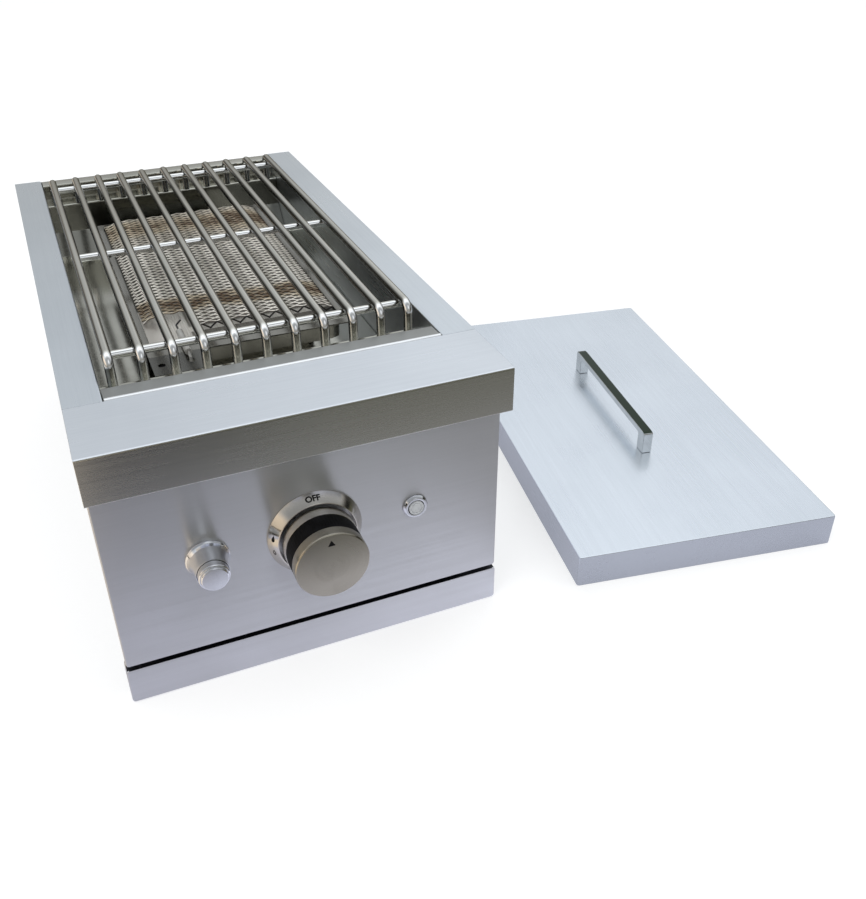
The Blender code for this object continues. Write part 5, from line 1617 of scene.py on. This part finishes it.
@dataclass
class Studio:
    """Pale floor, plain soft lamps, white surround and the camera.

    Attributes:
        spot: Where the camera stands.
        turn: Its turn in degrees.
        lens: Its focal length.
        sensor: Width of its sensor.
        floor_half: Half the floor's width.
        floor_z: Height of the floor.
        casing_foot: Centre and half size of the casing's foot on the floor.
        lid_foot: Centre and half size of the lid's.
        aim: What the lamps face.
        lamps: Name, place, size, power and tint of each lamp.
    """

    spot: Point = (-0.148027, -0.870193, 0.586767)
    turn: Point = (56.81947, 0.17649, -23.13423)
    lens: float = 38.82
    sensor: float = 36.0
    floor_half: float = 12.0
    floor_z: float = -0.0004
    casing_foot: tuple[Pair, Pair] = ((0.0, 0.0), (0.16, 0.305))
    lid_foot: tuple[Pair, Pair] = ((0.40, -0.09), (0.16, 0.26))
    aim: Point = (0.15, -0.05, 0.1)
    lamps: tuple[tuple[str, Point, float, float, Colour], ...] = (
        ("key_lamp", (-1.6, -1.2, 2.4), 1.6, 26.0, WHITE),
        ("fill_lamp", (2.2, -1.8, 1.6), 1.8, 14.0, (1.0, 0.99, 0.97)),
    )

    def _camera(self) -> None:
        """Makes the camera."""
        data = bpy.data.cameras.new("camera")
        data.lens = self.lens
        data.sensor_width = self.sensor
        data.sensor_fit = "AUTO"
        data.clip_start = 0.01
        data.clip_end = 100.0
        camera = show("camera", data)
        camera.location = self.spot
        camera.rotation_euler = Euler([math.radians(angle) for angle in self.turn], "XYZ")
        bpy.context.scene.camera = camera

    @staticmethod
    def _reach(x: Signal, y: Signal, foot: tuple[Pair, Pair]) -> Signal:
        """Distance on the floor from a piece's foot.

        Args:
            x: Place across.
            y: Place along.
            foot: Centre of the foot, and half its width and length.

        Returns:
            The distance, 0 inside.
        """
        across, along = (
            ((place - middle).absolute() - half).most(0.0)
            for place, middle, half in zip((x, y), *foot)
        )
        return (across * across + along * along).root()

    def _floor(self) -> None:
        """Makes the floor: white to the camera save for the object's shadow, and pale round the
        object in what the metal mirrors."""
        half, z = self.floor_half, self.floor_z
        corners = [(-half, -half, z), (half, -half, z), (half, half, z), (-half, half, z)]
        mesh = bpy.data.meshes.new("floor")
        mesh.from_pydata(corners, [], [(0, 1, 2, 3)])
        dye = Dye("pale_floor")
        camera = dye.ray("Camera")
        seen = camera.most(dye.ray("Glossy")).most(dye.ray("Transmission"))
        x, y, _ = dye.split(dye.point)
        casing, lid = (self._reach(x, y, foot) for foot in (self.casing_foot, self.lid_foot))
        ahead = dye.colour(x.rise(-0.24, 0.24), (0.64, 0.65, 0.76), (0.97, 0.99, 1.13))
        beside = dye.colour((casing - lid).rise(-0.03, 0.03), ahead, (0.54, 0.54, 0.60))
        far = dye.colour(x.rise(-0.15, 0.20), (0.02, 0.02, 0.02), (0.10, 0.10, 0.07))
        front = dye.colour(casing.least(lid).rise(0.0, 0.40), beside, far)
        leftward = x * -1.0
        left = leftward.rise(0.17, 0.22) * (1 - leftward.rise(1.2, 2.4))
        tone = dye.colour(camera, dye.colour(left, front, (0.90, 0.78, 0.64)), WHITE)
        halved = dye.out("VectorMath", {0: tone, "Scale": 0.5}, operation="SCALE")
        lit = dye.out("BsdfDiffuse", {"Color": halved})
        glow = dye.out("Emission", {"Color": tone, "Strength": 0.61})
        pale = dye.out("BsdfDiffuse", {"Color": (0.82, 0.82, 0.82, 1.0)})
        both = dye.out("AddShader", {0: lit, 1: glow})
        dye.node("OutputMaterial", {0: dye.out("MixShader", {0: seen, 1: pale, 2: both})})
        mesh.materials.append(dye.material)
        floor = show("floor", mesh)

    def _light(self) -> None:
        """Makes the square lamps, which face the object and aren't mirrored in it."""
        for name, place, size, power, tint in self.lamps:
            data = bpy.data.lights.new(name, "AREA")
            data.size = size
            data.energy = power
            data.color = tint
            lamp = show(name, data)
            lamp.location = place
            way = Vector(self.aim) - Vector(place)
            lamp.rotation_euler = way.to_track_quat("-Z", "Y").to_euler()
            lamp.visible_glossy = False

    @staticmethod
    def _surround() -> None:
        """Makes the world: white to the camera, and in what it lights brightest overhead and behind
        the lid, dim in front and along the horizon."""
        world = bpy.data.worlds.new("surround")
        bpy.context.scene.world = world
        world.use_nodes = True
        world.node_tree.nodes.clear()
        board = Board(world.node_tree)
        x, y, height = board.split(board.out("TexCoord", output="Generated"))
        behind = (x * 0.52 + y * 0.69 + height * 0.50).rise(0.86, 1.0)
        ahead = (x * 0.20 - y * 0.79 + height * 0.58).rise(0.93, 1.0)
        back = y.rise(-0.45, 0.10)
        low_sky = height.rise(0.02, 0.46) * 0.42 * (0.2 + back * 0.8)
        high_sky = height.rise(0.46, 1.0) * 0.65 * back
        glow = (x * -1.0).rise(0.66, 0.90) * (1 - height.rise(0.30, 0.60))
        right = x.rise(0.55, 0.95) * (1 - height.rise(0.10, 0.35))
        level = low_sky + high_sky + ahead * 0.6 + 0.28 + behind * 0.28 + glow * 0.55
        tint = board.colour(height.rise(0.0, 0.45), (1.0, 0.97, 0.88), (0.92, 0.96, 1.0))
        tint = board.colour(glow, tint, (1.0, 0.86, 0.70))
        sockets = {"Color": tint, "Strength": level * (1 - right * 0.95)}
        light = board.out("Background", sockets)
        white = board.out("Background", {"Color": (1.0, 1.0, 1.0, 1.0), "Strength": 1.0})
        mixed = board.out("MixShader", {0: board.ray("Camera"), 1: light, 2: white})
        board.node("OutputWorld", {0: mixed})

    def build(self) -> None:
        """Makes the whole studio."""
        self._camera()
        self._floor()
        self._surround()
        self._light()
        bpy.context.scene.view_settings.view_transform = "Standard"


def main() -> None:
    """Builds every group of pieces and the studio."""
    logging.basicConfig(level=logging.INFO, format="%(message)s")
    for group in (
        Studio(), SheetWork(), RoundWork(), CookingGrate(), InfraredBurner(), KnobGroup(),
        PushControls(), LaidLid(), Fasteners(),
    ):
        group.build()


if __name__ == "__main__":
    main()
